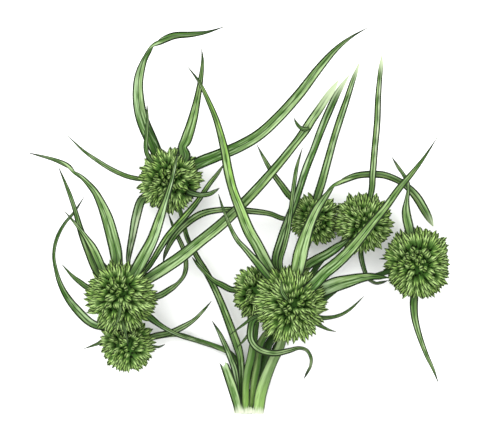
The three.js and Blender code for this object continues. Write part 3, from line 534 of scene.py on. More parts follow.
def blade_colours(
    left, right, tip="withered", tip_from=0.86, turn_at=2.0, after=None, root="deep", root_length=4.5,
    rib_line=0.78,
):
    """The colours of a blade: left and right half each as (near the root, beyond), and the tip.

    A blade that shows its other face past turn_at has the two colours in after from there on.
    The halves differ mostly by painted light and shade, one side of the fold painted lit and the other
    painted shaded.
    """
    after = after or (left[1], right[1])

    def colours(nodes):
        place, across, along = nodes.place_on("blade")
        _, margin, share = nodes.place_on("edge")
        from_rib = nodes.math("ABSOLUTE", across)
        streaks = nodes.streaks(place, BLADE_STREAKS)
        clouds = nodes.noise(place, BLADE_CLOUD_SCALE, detail=1.0)
        wandering = nodes.math("ADD", share, nodes.math("MULTIPLY", clouds, BLADE_BEYOND_WANDER))
        beyond = nodes.rise(wandering, BLADE_BEYOND)
        turned = nodes.rise(share, (turn_at - BLADE_TURN_BLUR, turn_at + BLADE_TURN_BLUR))
        # Each half's greens hold painted light and shade: the side of the fold that faces the light is
        # lighter, the other darker.
        halves = []
        for (near, far), other in zip((left, right), after):
            grown = nodes.mix(beyond, linear(near), linear(far))
            halves.append(nodes.mix(turned, grown, linear(other)))
        frayed = nodes.math("ADD", along, streaks) if root == "bleached" else along
        near_root = nodes.fall(frayed, (BLADE_ROOT_MM, root_length))
        near_tip = nodes.rise(share, (tip_from, min(tip_from + BLADE_TIP_LENGTH, 1.0)))
        # The dark lines fade where the tissue is pale.
        lined = nodes.math("SUBTRACT", 1.0, near_tip) if tip in ("pale", "bleached") else 1.0
        if root == "bleached":
            lined = nodes.math("SUBTRACT", lined, near_root)
        # Painted shade in the fold beside the midrib, in cloudy patches.
        shaded = nodes.fall(from_rib, BLADE_SHADE_BESIDE_RIB)
        shaded = nodes.math("MULTIPLY", shaded, nodes.rise(clouds, BLADE_CLOUDS))
        colour = nodes.coats(
            nodes.mix(nodes.rise(across, BLADE_HALVES_MEET), *halves),
            ("rich", 0.85, shaded),
            ("rich", 0.5, nodes.rise(streaks, BLADE_DARK_STREAKS)),
            ("dewy", 0.45, nodes.fall(streaks, BLADE_LIGHT_STREAKS)),
            # A deep root is painted shade where a bract leaves its head; a bleached root is the leaf's own
            # pale base.
            (root, 0.92 if root == "bleached" else 0.6, near_root),
            (tip, 0.85, near_tip),
            ("line", rib_line, nodes.math("MULTIPLY", nodes.fall(from_rib, BLADE_RIB), lined)),
            ("line", 0.97, nodes.math("MULTIPLY", nodes.fall(margin, BLADE_RIM), lined)),
        )
        return colour, streaks

    return colours


def add_blade(name, path, slot="bract", replaces_node=True, **colours):
    """One keeled blade as a piece of its own. Its root isn't in the way of the head that bears it."""
    rings, maps = blade_rings(path)
    centre, side, _, width, _ = stations(path, BLADE_STEPS_NOTED)
    past_root = slice(BLADE_STEPS_NOTED, None)
    remember(centre[past_root], side[past_root], width[past_root])
    material = tissue(name, blade_colours(**colours), roughness=0.5, relief_mm=0.03)
    add_piece(name, rings, maps, material, name if replaces_node else None)


for name, leaf in LEAVES.items():
    leaf["path"] = rooted(leaf["path"])
    add_blade(name, slot="leaf", **leaf)


# The torn sheath is the lower part of a leaf that broke off: a pale yellow-green trough, thin and
# limp, greener on its left edge, with a ragged end. It grows from the crown left of the culms.

SHEATH_PATH = [
    (-0.5, -37.0, 6.0, 1.8), (-0.8, -35.8, 6.0, 1.9), (-1.5, -33.4, 6.0, 2.0), (-2.3, -31.1, 6.0, 1.9),
    (-3.1, -28.9, 5.9, 1.7),
]
SHEATH_COLOURS = dict(
    left=("leaf", "leaf"), right=("light", "light"), tip="mint", tip_from=0.88, root="bleached",
    root_length=2.6, rib_line=0.0,
)
# How far the torn end reaches past the last point of the path, from the left margin to the right,
# and how much of that the last four rings take up, from the end back.
SHEATH_TEAR_ACROSS = [-1.0, -0.7, -0.3, 0.05, 0.35, 0.6, 0.8, 1.0]
SHEATH_TEAR_REACH = [0.85, 0.3, -0.35, -0.1, 0.5, 0.0, 0.15, -0.1]
SHEATH_TEAR_SHARES = (1.0, 0.7, 0.4, 0.15)

rings, maps = blade_rings(rooted(SHEATH_PATH))
centre, side, _, width, _ = stations(rooted(SHEATH_PATH), BLADE_STEPS)
remember(centre, side, width)
ahead = (centre[-1] - centre[-2]) / np.linalg.norm(centre[-1] - centre[-2])
tear = np.interp(BLADE_ACROSS + BLADE_ACROSS[-2:0:-1], SHEATH_TEAR_ACROSS, SHEATH_TEAR_REACH)
for back, share in enumerate(SHEATH_TEAR_SHARES, 1):
    rings[-back] += ahead * tear[:, None] * share
sheath_colours = blade_colours(**SHEATH_COLOURS)
sheath_material = tissue("sheath_broken", sheath_colours, roughness=0.6, relief_mm=0.04)
add_piece("sheath_broken", rings, maps, sheath_material, "sheath_broken")


# The bracts of the upper left head are seven green blades in a whorl under it, each grown fast to
# the head's base. The first arches up and over and turns its other face up on the way; one lies
# over the head's rim with a wavy margin, and the longest runs far out to the upper right.

UPPER_LEFT_BRACTS = {
    "arching": dict(
        left=("green", "mint"), right=("deep", "light"), turn_at=0.52, after=("leaf", "green"),
        path=[
            (-16.0, 12.2, 6.6, 2.1), (-17.8, 16.1, 7.0, 2.6), (-19.5, 20.1, 7.0, 2.6),
            (-20.3, 24.1, 6.6, 2.4), (-20.3, 28.1, 6.1, 2.0), (-19.4, 31.7, 5.7, 1.7, 38),
            (-18.0, 34.1, 5.3, 1.6, 65), (-16.0, 35.8, 4.9, 1.6, 140), (-13.2, 37.0, 4.4, 1.5, 180),
            (-9.6, 37.3, 3.8, 1.2, 180), (-6.4, 37.8, 3.2, 0.64, 180), (-3.0, 38.9, 2.6, 0.1, 180),
        ],
    ),
    "short": dict(
        left=("leaf", "green"), right=("leaf", "light"),
        path=[
            (-16.3, 10.5, 9.4, 0.7), (-18.2, 12.5, 9.8, 0.88), (-18.8, 14.5, 9.5, 1.0),
            (-18.7, 17.1, 9.1, 0.84), (-18.5, 20.1, 8.7, 0.64), (-18.6, 23.5, 8.2, 0.1),
        ],
    ),
    "wavy": dict(
        left=("leaf", "fresh"), right=("green", "fresh"),
        path=[
            (-11.9, 11.6, 8.4, 2.0), (-11.1, 12.9, 8.2, 2.5), (-11.5, 14.7, 8.0, 1.9),
            (-10.7, 16.3, 7.6, 2.3), (-9.5, 20.1, 6.7, 2.0), (-8.6, 24.1, 5.8, 1.5), (-7.9, 28.1, 5.0, 1.1),
            (-7.5, 31.7, 4.3, 0.68), (-7.7, 34.5, 3.8, 0.1),
        ],
    ),
    "long": dict(
        left=("green", "leaf"), right=("green", "light"),
        path=[
            (-10.1, 10.4, 6.8, 2.0), (-8.0, 11.6, 6.6, 2.5), (-4.0, 13.2, 6.4, 2.4), (0.0, 14.9, 6.2, 2.4),
            (4.0, 17.3, 6.0, 2.3), (8.0, 21.0, 5.7, 2.2), (12.0, 25.5, 5.3, 2.1), (15.6, 30.2, 4.8, 1.8),
            (19.0, 34.1, 4.2, 1.2), (22.2, 36.7, 3.6, 0.6), (25.7, 38.7, 3.0, 0.1),
        ],
    ),
    "side": dict(
        left=("fresh", "leaf"), right=("sunlit", "light"),
        path=[
            (-18.6, 8.3, 6.2, 0.83), (-20.6, 8.4, 6.1, 1.0), (-23.0, 9.0, 6.0, 1.0),
            (-26.0, 10.4, 5.7, 1.0), (-29.0, 12.3, 5.3, 0.84), (-31.6, 14.2, 4.9, 0.56),
            (-34.6, 17.1, 4.4, 0.1),
        ],
    ),
    "hooked": dict(
        left=("leaf", "mint"), right=("green", "fresh"),
        path=[
            (-10.5, 5.9, 8.6, 1.2), (-9.8, 5.5, 8.7, 1.4), (-8.0, 5.1, 8.3, 1.1), (-6.2, 5.3, 7.9, 1.0),
            (-5.0, 5.9, 7.6, 0.68), (-4.1, 6.5, 7.4, 0.1),
        ],
    ),
    "down": dict(
        left=("leaf", "pale"), right=("leaf", "mint"),
        path=[
            (-17.7, 5.4, 5.4, 1.5), (-19.7, 4.1, 5.2, 1.8), (-20.8, 0.7, 4.8, 1.9), (-21.5, -2.9, 4.4, 1.6),
            (-22.1, -5.9, 4.0, 1.3), (-22.4, -8.1, 3.7, 0.88), (-22.3, -9.7, 3.5, 0.2),
        ],
    ),
}

for name, bract in UPPER_LEFT_BRACTS.items():
    add_blade(f"bract_upper_left_{name}", **bract)


# The bracts of the left head stand in the richest whorl of the tuft: ten green blades grown to its
# base. Two cross each other, one is broad and twists near its tip, one lies up over the upper left
# head, and the rest curl round to the sides. The longest of all has a section of its own.

LEFT_BRACTS = {
    "outer": dict(
        left=("fresh", "leaf"), right=("leaf", "leaf"),
        path=[
            (-27.1, -11.6, 9.0, 1.5), (-28.6, -9.9, 8.9, 1.9), (-30.3, -5.9, 8.4, 1.8),
            (-31.8, -2.1, 7.8, 1.4), (-33.0, 2.1, 7.2, 1.0), (-34.4, 6.1, 6.5, 0.8),
            (-36.4, 10.9, 5.6, 0.1),
        ],
    ),
    "crossing": dict(
        left=("leaf", "fresh"), right=("fresh", "light"),
        path=[
            (-26.6, -11.1, 10.6, 1.4), (-27.4, -9.9, 10.5, 1.8), (-29.2, -5.9, 10.0, 1.8),
            (-30.7, -3.5, 9.5, 1.2), (-32.1, -1.6, 9.1, 0.8), (-33.5, 0.1, 8.6, 0.52),
            (-35.2, 2.0, 8.0, 0.1),
        ],
    ),
    "broad": dict(
        left=("leaf", "leaf"), right=("leaf", "light"), turn_at=0.68, after=("light", "leaf"),
        path=[
            (-24.4, -10.2, 9.6, 2.0), (-24.8, -6.3, 9.6, 2.6), (-25.7, -2.5, 9.5, 2.6),
            (-26.6, 0.6, 9.3, 2.4), (-27.7, 3.3, 9.0, 1.9), (-28.9, 5.6, 8.7, 1.5),
            (-30.5, 7.5, 8.4, 1.3, 28), (-32.2, 9.1, 8.0, 1.2, 58), (-34.4, 10.9, 7.5, 1.2, 145),
            (-37.0, 12.1, 7.0, 0.84, 180), (-39.8, 12.9, 6.3, 0.54, 180), (-42.6, 13.6, 5.6, 0.1, 180),
        ],
    ),
    "over_head": dict(
        left=("leaf", "fresh"), right=("leaf", "mint"),
        path=[
            (-21.8, -11.8, 13.0, 2.1), (-19.8, -8.3, 13.2, 2.6), (-17.5, -3.9, 13.3, 2.3),
            (-16.1, 0.1, 13.3, 2.0), (-14.8, 4.1, 13.3, 1.4), (-13.6, 8.1, 13.2, 0.9),
            (-12.8, 11.7, 12.9, 0.6), (-12.3, 14.3, 12.4, 0.1),
        ],
    ),
    "rising": dict(
        left=("fresh", "sunlit"), right=("green", "leaf"), tip="light", tip_from=0.84,
        path=[
            (-20.5, -11.7, 8.6, 0.86), (-18.4, -9.4, 8.4, 1.1), (-17.3, -7.7, 8.2, 1.2),
            (-15.0, -4.0, 7.9, 1.4), (-13.3, -1.8, 7.5, 1.4), (-9.9, 2.1, 6.7, 1.3), (-8.3, 4.1, 6.0, 1.1),
            (-6.2, 7.2, 5.2, 1.0), (-4.4, 9.5, 4.7, 0.76), (-3.1, 11.5, 4.4, 0.1),
        ],
    ),
    "curling": dict(
        left=("leaf", "rich"), right=("mint", "leaf"),
        path=[
            (-25.2, -19.6, 7.8, 1.1), (-25.6, -21.0, 7.7, 1.4), (-27.8, -21.2, 7.5, 1.5),
            (-29.9, -20.4, 7.2, 1.7), (-32.0, -18.5, 6.5, 1.8), (-34.2, -15.9, 5.6, 1.5),
            (-35.9, -12.9, 4.8, 1.1), (-36.9, -9.7, 4.0, 0.82), (-37.3, -6.7, 3.5, 0.72),
            (-36.7, -3.6, 3.2, 0.8), (-35.2, -0.7, 3.1, 0.68), (-33.2, 1.7, 3.0, 0.56),
            (-31.2, 4.8, 2.8, 0.1),
        ],
    ),
    "turning": dict(
        left=("light", "fresh"), right=("light", "fresh"),
        path=[
            (-19.1, -15.2, 8.6, 1.2), (-16.4, -15.1, 8.1, 1.4), (-14.2, -13.9, 7.3, 1.3),
            (-12.4, -12.5, 6.3, 1.1, 42), (-11.2, -10.8, 5.5, 1.1, 34), (-10.8, -8.7, 4.9, 1.0),
            (-11.3, -5.9, 4.4, 1.0), (-12.4, -3.3, 4.1, 0.9), (-13.5, -0.9, 3.9, 0.64),
            (-14.4, 1.5, 3.7, 0.1),
        ],
    ),
    "low": dict(
        left=("green", "fresh"), right=("green", "mint"),
        path=[
            (-20.0, -18.0, 8.2, 1.1), (-18.2, -19.2, 7.8, 1.4), (-16.0, -20.9, 7.1, 1.1),
            (-13.6, -22.3, 6.4, 0.88), (-11.2, -23.3, 5.8, 0.72), (-8.8, -24.0, 5.2, 0.68),
            (-6.8, -24.8, 4.7, 0.48), (-4.2, -26.0, 4.2, 0.1),
        ],
    ),
    "small": dict(
        left=("leaf", "leaf"), right=("leaf", "fresh"),
        path=[
            (-28.4, -13.9, 9.0, 1.0), (-30.4, -13.4, 8.7, 1.2), (-32.0, -12.3, 8.2, 1.1),
            (-33.6, -11.0, 7.6, 0.74), (-35.7, -8.7, 6.7, 0.1),
        ],
    ),
}

for name, bract in LEFT_BRACTS.items():
    add_blade(f"bract_left_{name}", **bract)


# The longest bract runs from the left head right across the tuft. Near its end it turns over, shows
# its pale underside, and the margin that turns first stands out as a small hook. Blade and hook are
# one piece of thin leaf tissue, grown to the head's base.

LONGEST_BRACT = dict(
    left=("leaf", "leaf"), right=("light", "fresh"), turn_at=0.775, after=("light", "light"), tip="pale",
    tip_from=0.84,
    path=[
        (-19.7, -12.5, 10.0, 2.0), (-16.0, -10.1, 10.0, 2.5), (-12.0, -7.4, 9.8, 2.5),
        (-8.0, -4.2, 9.4, 2.3), (-4.0, -1.0, 8.8, 2.3), (0.0, 2.8, 8.3, 2.1), (4.0, 7.0, 7.9, 2.0),
        (8.0, 11.6, 7.7, 1.8), (11.2, 15.6, 7.9, 1.7), (13.0, 18.0, 8.2, 1.9), (14.4, 20.2, 8.3, 1.8),
        (15.8, 22.2, 8.1, 1.7), (17.3, 24.5, 7.9, 1.5), (18.6, 26.4, 7.7, 1.1), (19.7, 28.1, 7.5, 0.1),
    ],
)
LONGEST_BRACT_HOOK = dict(
    left=("leaf", "green"), right=("fresh", "leaf"), root="green",
    path=[
        (13.9, 18.5, 8.5, 0.6), (12.9, 18.2, 8.6, 0.84), (11.9, 18.7, 8.7, 0.76), (11.2, 19.6, 8.7, 0.52),
        (10.8, 20.5, 8.7, 0.1),
    ],
)

add_blade("bract_left_longest", **LONGEST_BRACT)
add_blade("bract_left_longest_hook", replaces_node=False, **LONGEST_BRACT_HOOK)


# The lower left head has one long bract, a narrow green blade that curves up to the right behind
# the bract of the head above it. It grows from the head's base like the others.

LOWER_LEFT_BRACT = dict(
    left=("light", "light"), right=("fresh", "light"),
    path=[
        (-18.7, -23.6, 5.0, 1.1), (-16.8, -23.1, 4.7, 1.4), (-14.0, -22.5, 4.3, 1.3),
        (-11.4, -21.3, 4.0, 1.2), (-9.2, -19.9, 3.8, 0.84), (-7.2, -17.9, 3.6, 0.6),
        (-5.7, -16.1, 3.4, 0.1),
    ],
)

add_blade("bract_lower_left", **LOWER_LEFT_BRACT)


# The bracts of the front head are eleven green blades, from a broad pale one on the right to fine
# ones like threads. One arches over two other heads and twists on the way, one crosses the head
# behind it, and one loops down in front of the culms. All grow from the head's base.

CENTRE_FRONT_BRACTS = {
    "long": dict(
        left=("leaf", "fresh"), right=("light", "sunlit"),
        path=[
            (7.4, -12.0, 12.2, 1.8), (5.2, -8.3, 12.2, 2.3), (3.4, -4.9, 11.9, 2.4), (1.7, -1.9, 11.5, 2.4),
            (0.1, 2.1, 11.0, 2.2), (-1.4, 6.1, 10.4, 1.9), (-2.4, 10.1, 9.8, 1.9), (-3.1, 14.1, 9.1, 1.7),
            (-4.6, 19.7, 8.4, 1.3), (-6.4, 24.1, 7.8, 1.0), (-8.3, 27.9, 7.2, 0.64),
            (-10.6, 30.9, 6.6, 0.1),
        ],
    ),
    "narrow": dict(
        left=("green", "leaf"), right=("fresh", "light"),
        path=[
            (6.8, -12.5, 14.0, 1.3), (4.8, -10.1, 13.9, 1.6), (3.0, -7.9, 13.7, 1.5),
            (1.1, -5.7, 13.3, 1.2), (-0.6, -3.8, 12.7, 1.0), (-1.9, -1.4, 12.1, 0.8),
            (-2.9, 1.1, 11.5, 0.64), (-3.7, 3.3, 11.0, 0.48), (-4.3, 5.3, 10.5, 0.1),
        ],
    ),
    "dark": dict(
        left=("leaf", "mint"), right=("leaf", "green"), tip="pale", tip_from=0.84,
        path=[
            (8.4, -12.1, 10.6, 1.2), (7.0, -8.3, 10.6, 1.5), (8.0, -4.1, 10.1, 1.5), (9.4, -0.3, 9.7, 1.6),
            (10.7, 2.9, 9.2, 1.6), (11.8, 6.1, 8.7, 1.5), (13.2, 10.4, 8.1, 1.6), (14.7, 14.1, 7.5, 1.5),
            (16.2, 18.1, 6.9, 1.6), (17.9, 22.1, 6.3, 1.6), (19.3, 25.1, 5.9, 1.4), (20.7, 27.4, 5.6, 0.84),
            (22.0, 29.3, 5.3, 0.1),
        ],
    ),
    "slender": dict(
        left=("leaf", "fresh"), right=("fresh", "leaf"),
        path=[
            (8.7, -11.3, 13.0, 0.9), (8.0, -8.3, 12.7, 1.1), (8.9, -4.9, 12.3, 1.1), (9.7, -1.3, 11.5, 1.1),
            (10.2, 2.7, 11.1, 0.92), (10.8, 7.3, 10.6, 0.9), (11.4, 10.9, 10.1, 0.72),
            (12.5, 14.6, 9.4, 0.1),
        ],
    ),
    "arching": dict(
        left=("fresh", "light"), right=("light", "light"), turn_at=0.42, after=("fresh", "leaf"),
        tip="pale", tip_from=0.93,
        path=[
            (10.9, -12.5, 16.2, 2.4), (11.8, -7.9, 15.6, 3.0), (12.4, -5.3, 14.7, 2.8),
            (13.1, -3.0, 13.8, 2.4), (14.1, -0.3, 12.9, 2.0), (15.4, 2.4, 12.1, 1.8),
            (16.6, 4.2, 11.5, 1.6, 22), (18.0, 6.0, 10.8, 1.5, 58), (19.6, 7.3, 10.2, 1.4, 115),
            (21.4, 8.3, 9.5, 1.4, 155), (24.0, 9.1, 8.6, 1.4, 180), (28.0, 9.2, 7.4, 1.5, 180),
            (30.8, 8.4, 6.5, 1.4, 180), (33.2, 7.0, 5.7, 1.4, 180), (35.3, 4.8, 5.1, 1.8, 180),
            (36.9, 2.2, 4.6, 1.8, 180), (38.0, 0.2, 4.4, 1.3, 180), (38.7, -1.2, 4.3, 0.16, 180),
        ],
    ),
    "behind": dict(
        left=("fresh", "leaf"), right=("green", "green"),
        path=[
            (11.9, -12.3, 10.6, 1.5), (13.2, -9.3, 10.4, 1.9), (15.0, -8.0, 10.0, 2.0),
            (17.4, -6.7, 9.3, 1.9), (19.8, -5.1, 8.6, 1.6), (22.4, -3.3, 8.0, 0.1),
        ],
    ),
    "over_head": dict(
        left=("leaf", "fresh"), right=("green", "fresh"),
        path=[
            (12.6, -14.4, 16.8, 2.0), (14.6, -12.8, 16.2, 2.5), (16.8, -10.5, 15.3, 2.5),
            (19.6, -8.2, 14.4, 2.4), (22.4, -5.4, 13.6, 2.2), (26.0, -1.0, 12.8, 1.8),
            (29.0, 2.6, 11.9, 1.6), (32.0, 6.7, 10.7, 1.4), (34.4, 9.5, 9.7, 1.1), (36.8, 12.6, 8.8, 0.64),
            (39.5, 16.7, 7.8, 0.1),
        ],
    ),
    "broad": dict(
        left=("mint", "fresh"), right=("mint", "leaf"), tip="green", tip_from=0.7,
        path=[
            (14.7, -14.6, 12.4, 2.3), (16.4, -13.9, 12.0, 2.8), (19.0, -12.8, 11.2, 3.0),
            (21.6, -12.1, 10.3, 2.6), (24.0, -11.5, 9.4, 2.0), (26.2, -11.2, 8.6, 1.5),
            (28.0, -11.3, 7.9, 1.0), (29.8, -11.4, 7.2, 0.1),
        ],
    ),
    "fine_right": dict(
        left=("leaf", "green"), right=("leaf", "light"),
        path=[
            (14.3, -18.6, 11.0, 0.8), (16.0, -19.4, 10.7, 1.0), (18.4, -19.3, 10.0, 0.8),
            (20.4, -18.7, 9.4, 0.7), (22.4, -17.4, 8.8, 0.56), (24.7, -15.2, 8.2, 0.1),
        ],
    ),
    "fine_left": dict(
        left=("green", "leaf"), right=("green", "leaf"),
        path=[
            (5.2, -18.4, 12.8, 0.61), (3.0, -19.2, 12.1, 0.76), (1.7, -20.0, 11.5, 0.66),
            (0.0, -21.3, 10.7, 0.48), (-2.0, -22.8, 9.8, 0.1),
        ],
    ),
    "looping": dict(
        left=("green", "light"), right=("green", "light"),
        path=[
            (6.4, -18.2, 9.8, 1.1), (2.9, -19.7, 9.5, 1.4), (2.1, -21.9, 9.1, 1.5), (2.2, -23.8, 8.8, 1.4),
            (3.3, -25.4, 8.6, 1.4), (5.2, -26.3, 8.5, 1.4), (7.4, -26.5, 8.4, 1.3), (9.8, -26.0, 8.0, 1.1),
            (11.8, -25.5, 7.7, 0.78), (13.4, -26.0, 7.3, 0.72), (14.2, -27.5, 6.9, 0.72),
            (14.1, -29.1, 6.4, 0.62), (13.4, -30.5, 6.0, 0.56), (12.8, -31.7, 5.7, 0.1),
        ],
    ),
}

for name, bract in CENTRE_FRONT_BRACTS.items():
    add_blade(f"bract_front_{name}", **bract)


# The head behind the front one shows a single bract, a narrow green blade that leaves it on the
# left and crosses over the long leaf.

CENTRE_BACK_BRACT = dict(
    left=("leaf", "green"), right=("green", "fresh"),
    path=[
        (0.2, -14.0, 6.6, 1.1), (-1.8, -13.8, 6.8, 1.3), (-3.6, -12.9, 6.8, 1.3), (-5.4, -11.9, 6.8, 1.0),
        (-7.1, -10.3, 6.6, 0.86), (-8.5, -8.8, 6.4, 0.64), (-9.6, -7.3, 6.2, 0.1),
    ],
)

add_blade("bract_back", **CENTRE_BACK_BRACT)


# The bracts of the middle head are three green blades: one arches far to the left under the others,
# one points up to the left, and a long upright one fades to a pale tip where it grew thin.

MIDDLE_BRACTS = {
    "arching": dict(
        left=("fresh", "fresh"), right=("fresh", "light"),
        path=[
            (11.4, 0.4, 5.0, 0.77), (8.6, 0.4, 5.1, 1.0), (5.8, 1.4, 5.3, 1.1), (2.0, 1.9, 5.5, 1.3),
            (-2.0, 2.2, 5.6, 1.2), (-5.6, 1.9, 5.5, 1.3), (-8.2, 1.1, 5.4, 1.5), (-10.4, -0.4, 5.3, 1.4),
            (-12.4, -2.3, 5.3, 1.3), (-13.9, -4.4, 5.3, 1.1), (-14.9, -6.5, 5.3, 0.84),
            (-15.4, -8.3, 5.3, 0.16),
        ],
    ),
    "left": dict(
        left=("green", "fresh"), right=("fresh", "fresh"),
        path=[
            (12.4, 2.8, 5.8, 1.1), (9.9, 5.0, 5.9, 1.4), (8.3, 7.1, 5.9, 1.3), (6.6, 9.4, 5.8, 1.1),
            (5.1, 11.9, 5.6, 0.82), (3.4, 15.1, 5.3, 0.1),
        ],
    ),
    "upright": dict(
        left=("leaf", "fresh"), right=("fresh", "mint"), tip="pale", tip_from=0.84,
        path=[
            (15.3, 3.4, 7.2, 1.4), (15.4, 4.5, 7.3, 1.7), (16.5, 8.1, 7.1, 1.7), (17.6, 12.1, 6.7, 1.6),
            (18.8, 16.4, 6.2, 1.5), (20.1, 20.5, 5.8, 1.5), (21.4, 24.3, 5.4, 1.3), (22.5, 27.7, 5.0, 1.1),
            (23.3, 29.9, 4.8, 0.76), (23.9, 31.7, 4.6, 0.1),
        ],
    ),
}

for name, bract in MIDDLE_BRACTS.items():
    add_blade(f"bract_middle_{name}", **bract)


# The head right of the middle has a long upright bract with a pale thin tip, and a small one that
# curls down and round to the right.

MID_RIGHT_BRACTS = {
    "upright": dict(
        left=("leaf", "fresh"), right=("fresh", "pale"), tip="pale", tip_from=0.84,
        path=[
            (25.4, 2.4, 8.8, 1.0), (26.3, 6.1, 9.2, 1.3), (26.5, 9.1, 9.4, 1.4), (26.9, 14.1, 9.0, 1.4),
            (27.4, 19.5, 8.4, 1.4), (27.6, 24.1, 7.9, 1.3), (27.9, 28.1, 7.4, 1.1), (28.2, 30.9, 7.0, 0.92),
            (28.4, 33.3, 6.7, 0.1),
        ],
    ),
    "down": dict(
        left=("fresh", "leaf"), right=("fresh", "pale"),
        path=[
            (24.3, -4.7, 4.6, 0.85), (24.2, -6.7, 4.7, 1.1), (24.6, -8.9, 4.5, 1.0),
            (25.5, -11.3, 4.2, 0.84), (27.0, -12.5, 4.0, 0.66), (28.4, -12.4, 3.9, 0.6),
            (29.6, -12.0, 3.8, 0.1),
        ],
    ),
}

for name, bract in MID_RIGHT_BRACTS.items():
    add_blade(f"bract_mid_right_{name}", **bract)


# The right head has a short bract that twists half over above it and points up to the left, and a
# tapering one that hangs down to the right.

RIGHT_BRACTS = {
    "twisted": dict(
        left=("fresh", "leaf"), right=("leaf", "light"),
        path=[
            (34.5, -4.3, 9.0, 1.6), (33.7, -1.1, 8.9, 2.0), (33.2, 1.7, 8.6, 1.8),
            (33.3, 3.9, 8.2, 1.2, 25), (33.6, 6.1, 7.8, 1.0, 40), (33.5, 7.6, 7.5, 0.92, 30),
            (32.6, 9.3, 7.0, 0.78), (31.5, 10.9, 6.5, 0.66), (30.4, 12.7, 6.0, 0.1),
        ],
    ),
    "down": dict(
        left=("fresh", "light"), right=("rich", "fresh"),
        path=[
            (35.1, -13.5, 5.6, 1.4), (34.8, -16.3, 5.3, 1.7), (35.0, -19.5, 4.9, 1.5),
            (35.9, -23.0, 4.5, 1.2), (37.3, -26.8, 4.1, 0.94), (38.7, -29.8, 3.8, 0.64),
            (39.8, -32.7, 3.5, 0.1),
        ],
    ),
}

for name, bract in RIGHT_BRACTS.items():
    add_blade(f"bract_right_{name}", **bract)


# The flower heads are round clusters of lance-shaped spikelets, each a short spike of overlapping
# green scales with a keel between dark bands. They are fixed by growth to a short axis at the
# culm's end and stand out on all sides, shorter where a bract, a culm or another head is near.

CORE_SHARE = 0.58
CORE_FINENESS = 5

SPIKELET_LENGTH = 3.0
SPIKELET_HALF_WIDTH = 0.62
SPIKELET_FLATNESS = 0.66
# A spikelet's outline: how broad its foot is, where it is broadest, and how it runs to a point.
SPIKELET_FOOT = 0.35
SPIKELET_BROADEST = 0.55
SPIKELET_TAPERS_FROM = 0.42
SPIKELET_TAPER = 1.8
# The spindle inside it, with the heights of its rings as shares of the length.
SPINDLE_SHARE = 0.94
SPINDLE_SIDES = 5
SPINDLE_RINGS = (-0.1, 0.3, 0.55, 0.8, 0.92, 1.0)
SPINDLE_PLACE = 0.4
# Where each scale of a spikelet starts and ends, as shares of its length, and its own rows.
SCALES = ((0.0, 0.7), (0.14, 0.88), (0.3, 1.0))
SCALE_ROWS = (0.0, 0.4, 0.7, 0.88, 1.0)
SCALE_ACROSS = (-1.0, -0.5, 0.0, 0.5, 1.0)
SCALE_WRAP = math.radians(86)
SCALE_TURN = math.radians(187)
SCALE_BLUNTNESS = 5
SCALE_KEEL = 1.02
SCALE_KEEL_DROP = 0.05
SCALE_TIP_LIFT = 0.05

# Spikelets spread away from the head's own axis, which leans a little. They also wander together
# in tufts, and each one strays, rolls and grows a little by itself.
HEAD_SPREAD = 0.42
HEAD_AXIS_LEAN = 0.25
TUFT_WANDER = 0.3
TUFTS_ROUND_HEAD = 3.5
SPIKELET_SPACING = 0.00066
SPIKELET_DENSITY = 1.2e7
SPIKELET_SCATTER = 0.32
SPIKELET_ROLL = (-0.5, 0.5)
SPIKELET_GROWTH = (0.66, 1.0)
SPIKELET_VIGOUR = (0.85, 1.12)
# Spikelets are as broad as written above on a head of this radius, and finer on a smaller one.
SPIKELET_FULL_SIZE_AT = 6.6
SPIKELET_LEAST_SIZE = 0.35
# How far they may reach, as a share of the head's radii, and as which share of its radius a head
# that is already grown stands in their way.
SPIKELET_REACH = 1.07
NEIGHBOUR_SHARE = 0.94
# In millimetres: the gap to the walls of the part's box, how near to a head a blade or culm counts,
# how far aside and behind a spikelet's foot it does, and how far before it the spikelet stops.
SPIKELET_WALL_GAP = 0.2
SPIKELET_NEARBY = 1
SPIKELET_CLEARANCE = 0.85
SPIKELET_LOOKS_BACK = 0.5
SPIKELET_STOPS_BEFORE = 0.4
# A spikelet with less room than this share of its full length isn't grown.
SPIKELET_LEAST_ROOM = 0.42
SPIKELET_LEAST_MM = 0.1

# Where a scale's colours change: along the spikelet, across the scale, and in its mottling.
# The dark foot of a spikelet is painted shade, deep in the head where the spikelets crowd.
SCALE_LIGHTER_TO_TIP = (0.45, 0.75)
SCALE_SHADED_FOOT = (0.3, 0.7)
SCALE_TINTS = (0.1, 0.9)
SCALE_KEEL_LINE = (0.17, 0.25)
SCALE_BAND = (0.42, 0.48)
SCALE_RIM = (0.8, 0.95)
SCALE_STREAKS = (5.0, 1.2, 1.0)
SCALE_STREAK_SCALE = 1.6
SCALE_DARK_STREAKS = (0.52, 0.68)
SCALE_MOTTLES = (0.5, 0.75)
SCALE_MOTTLE_SCALE = 1800.0
CORE_MOTTLE_SCALE = 1500.0

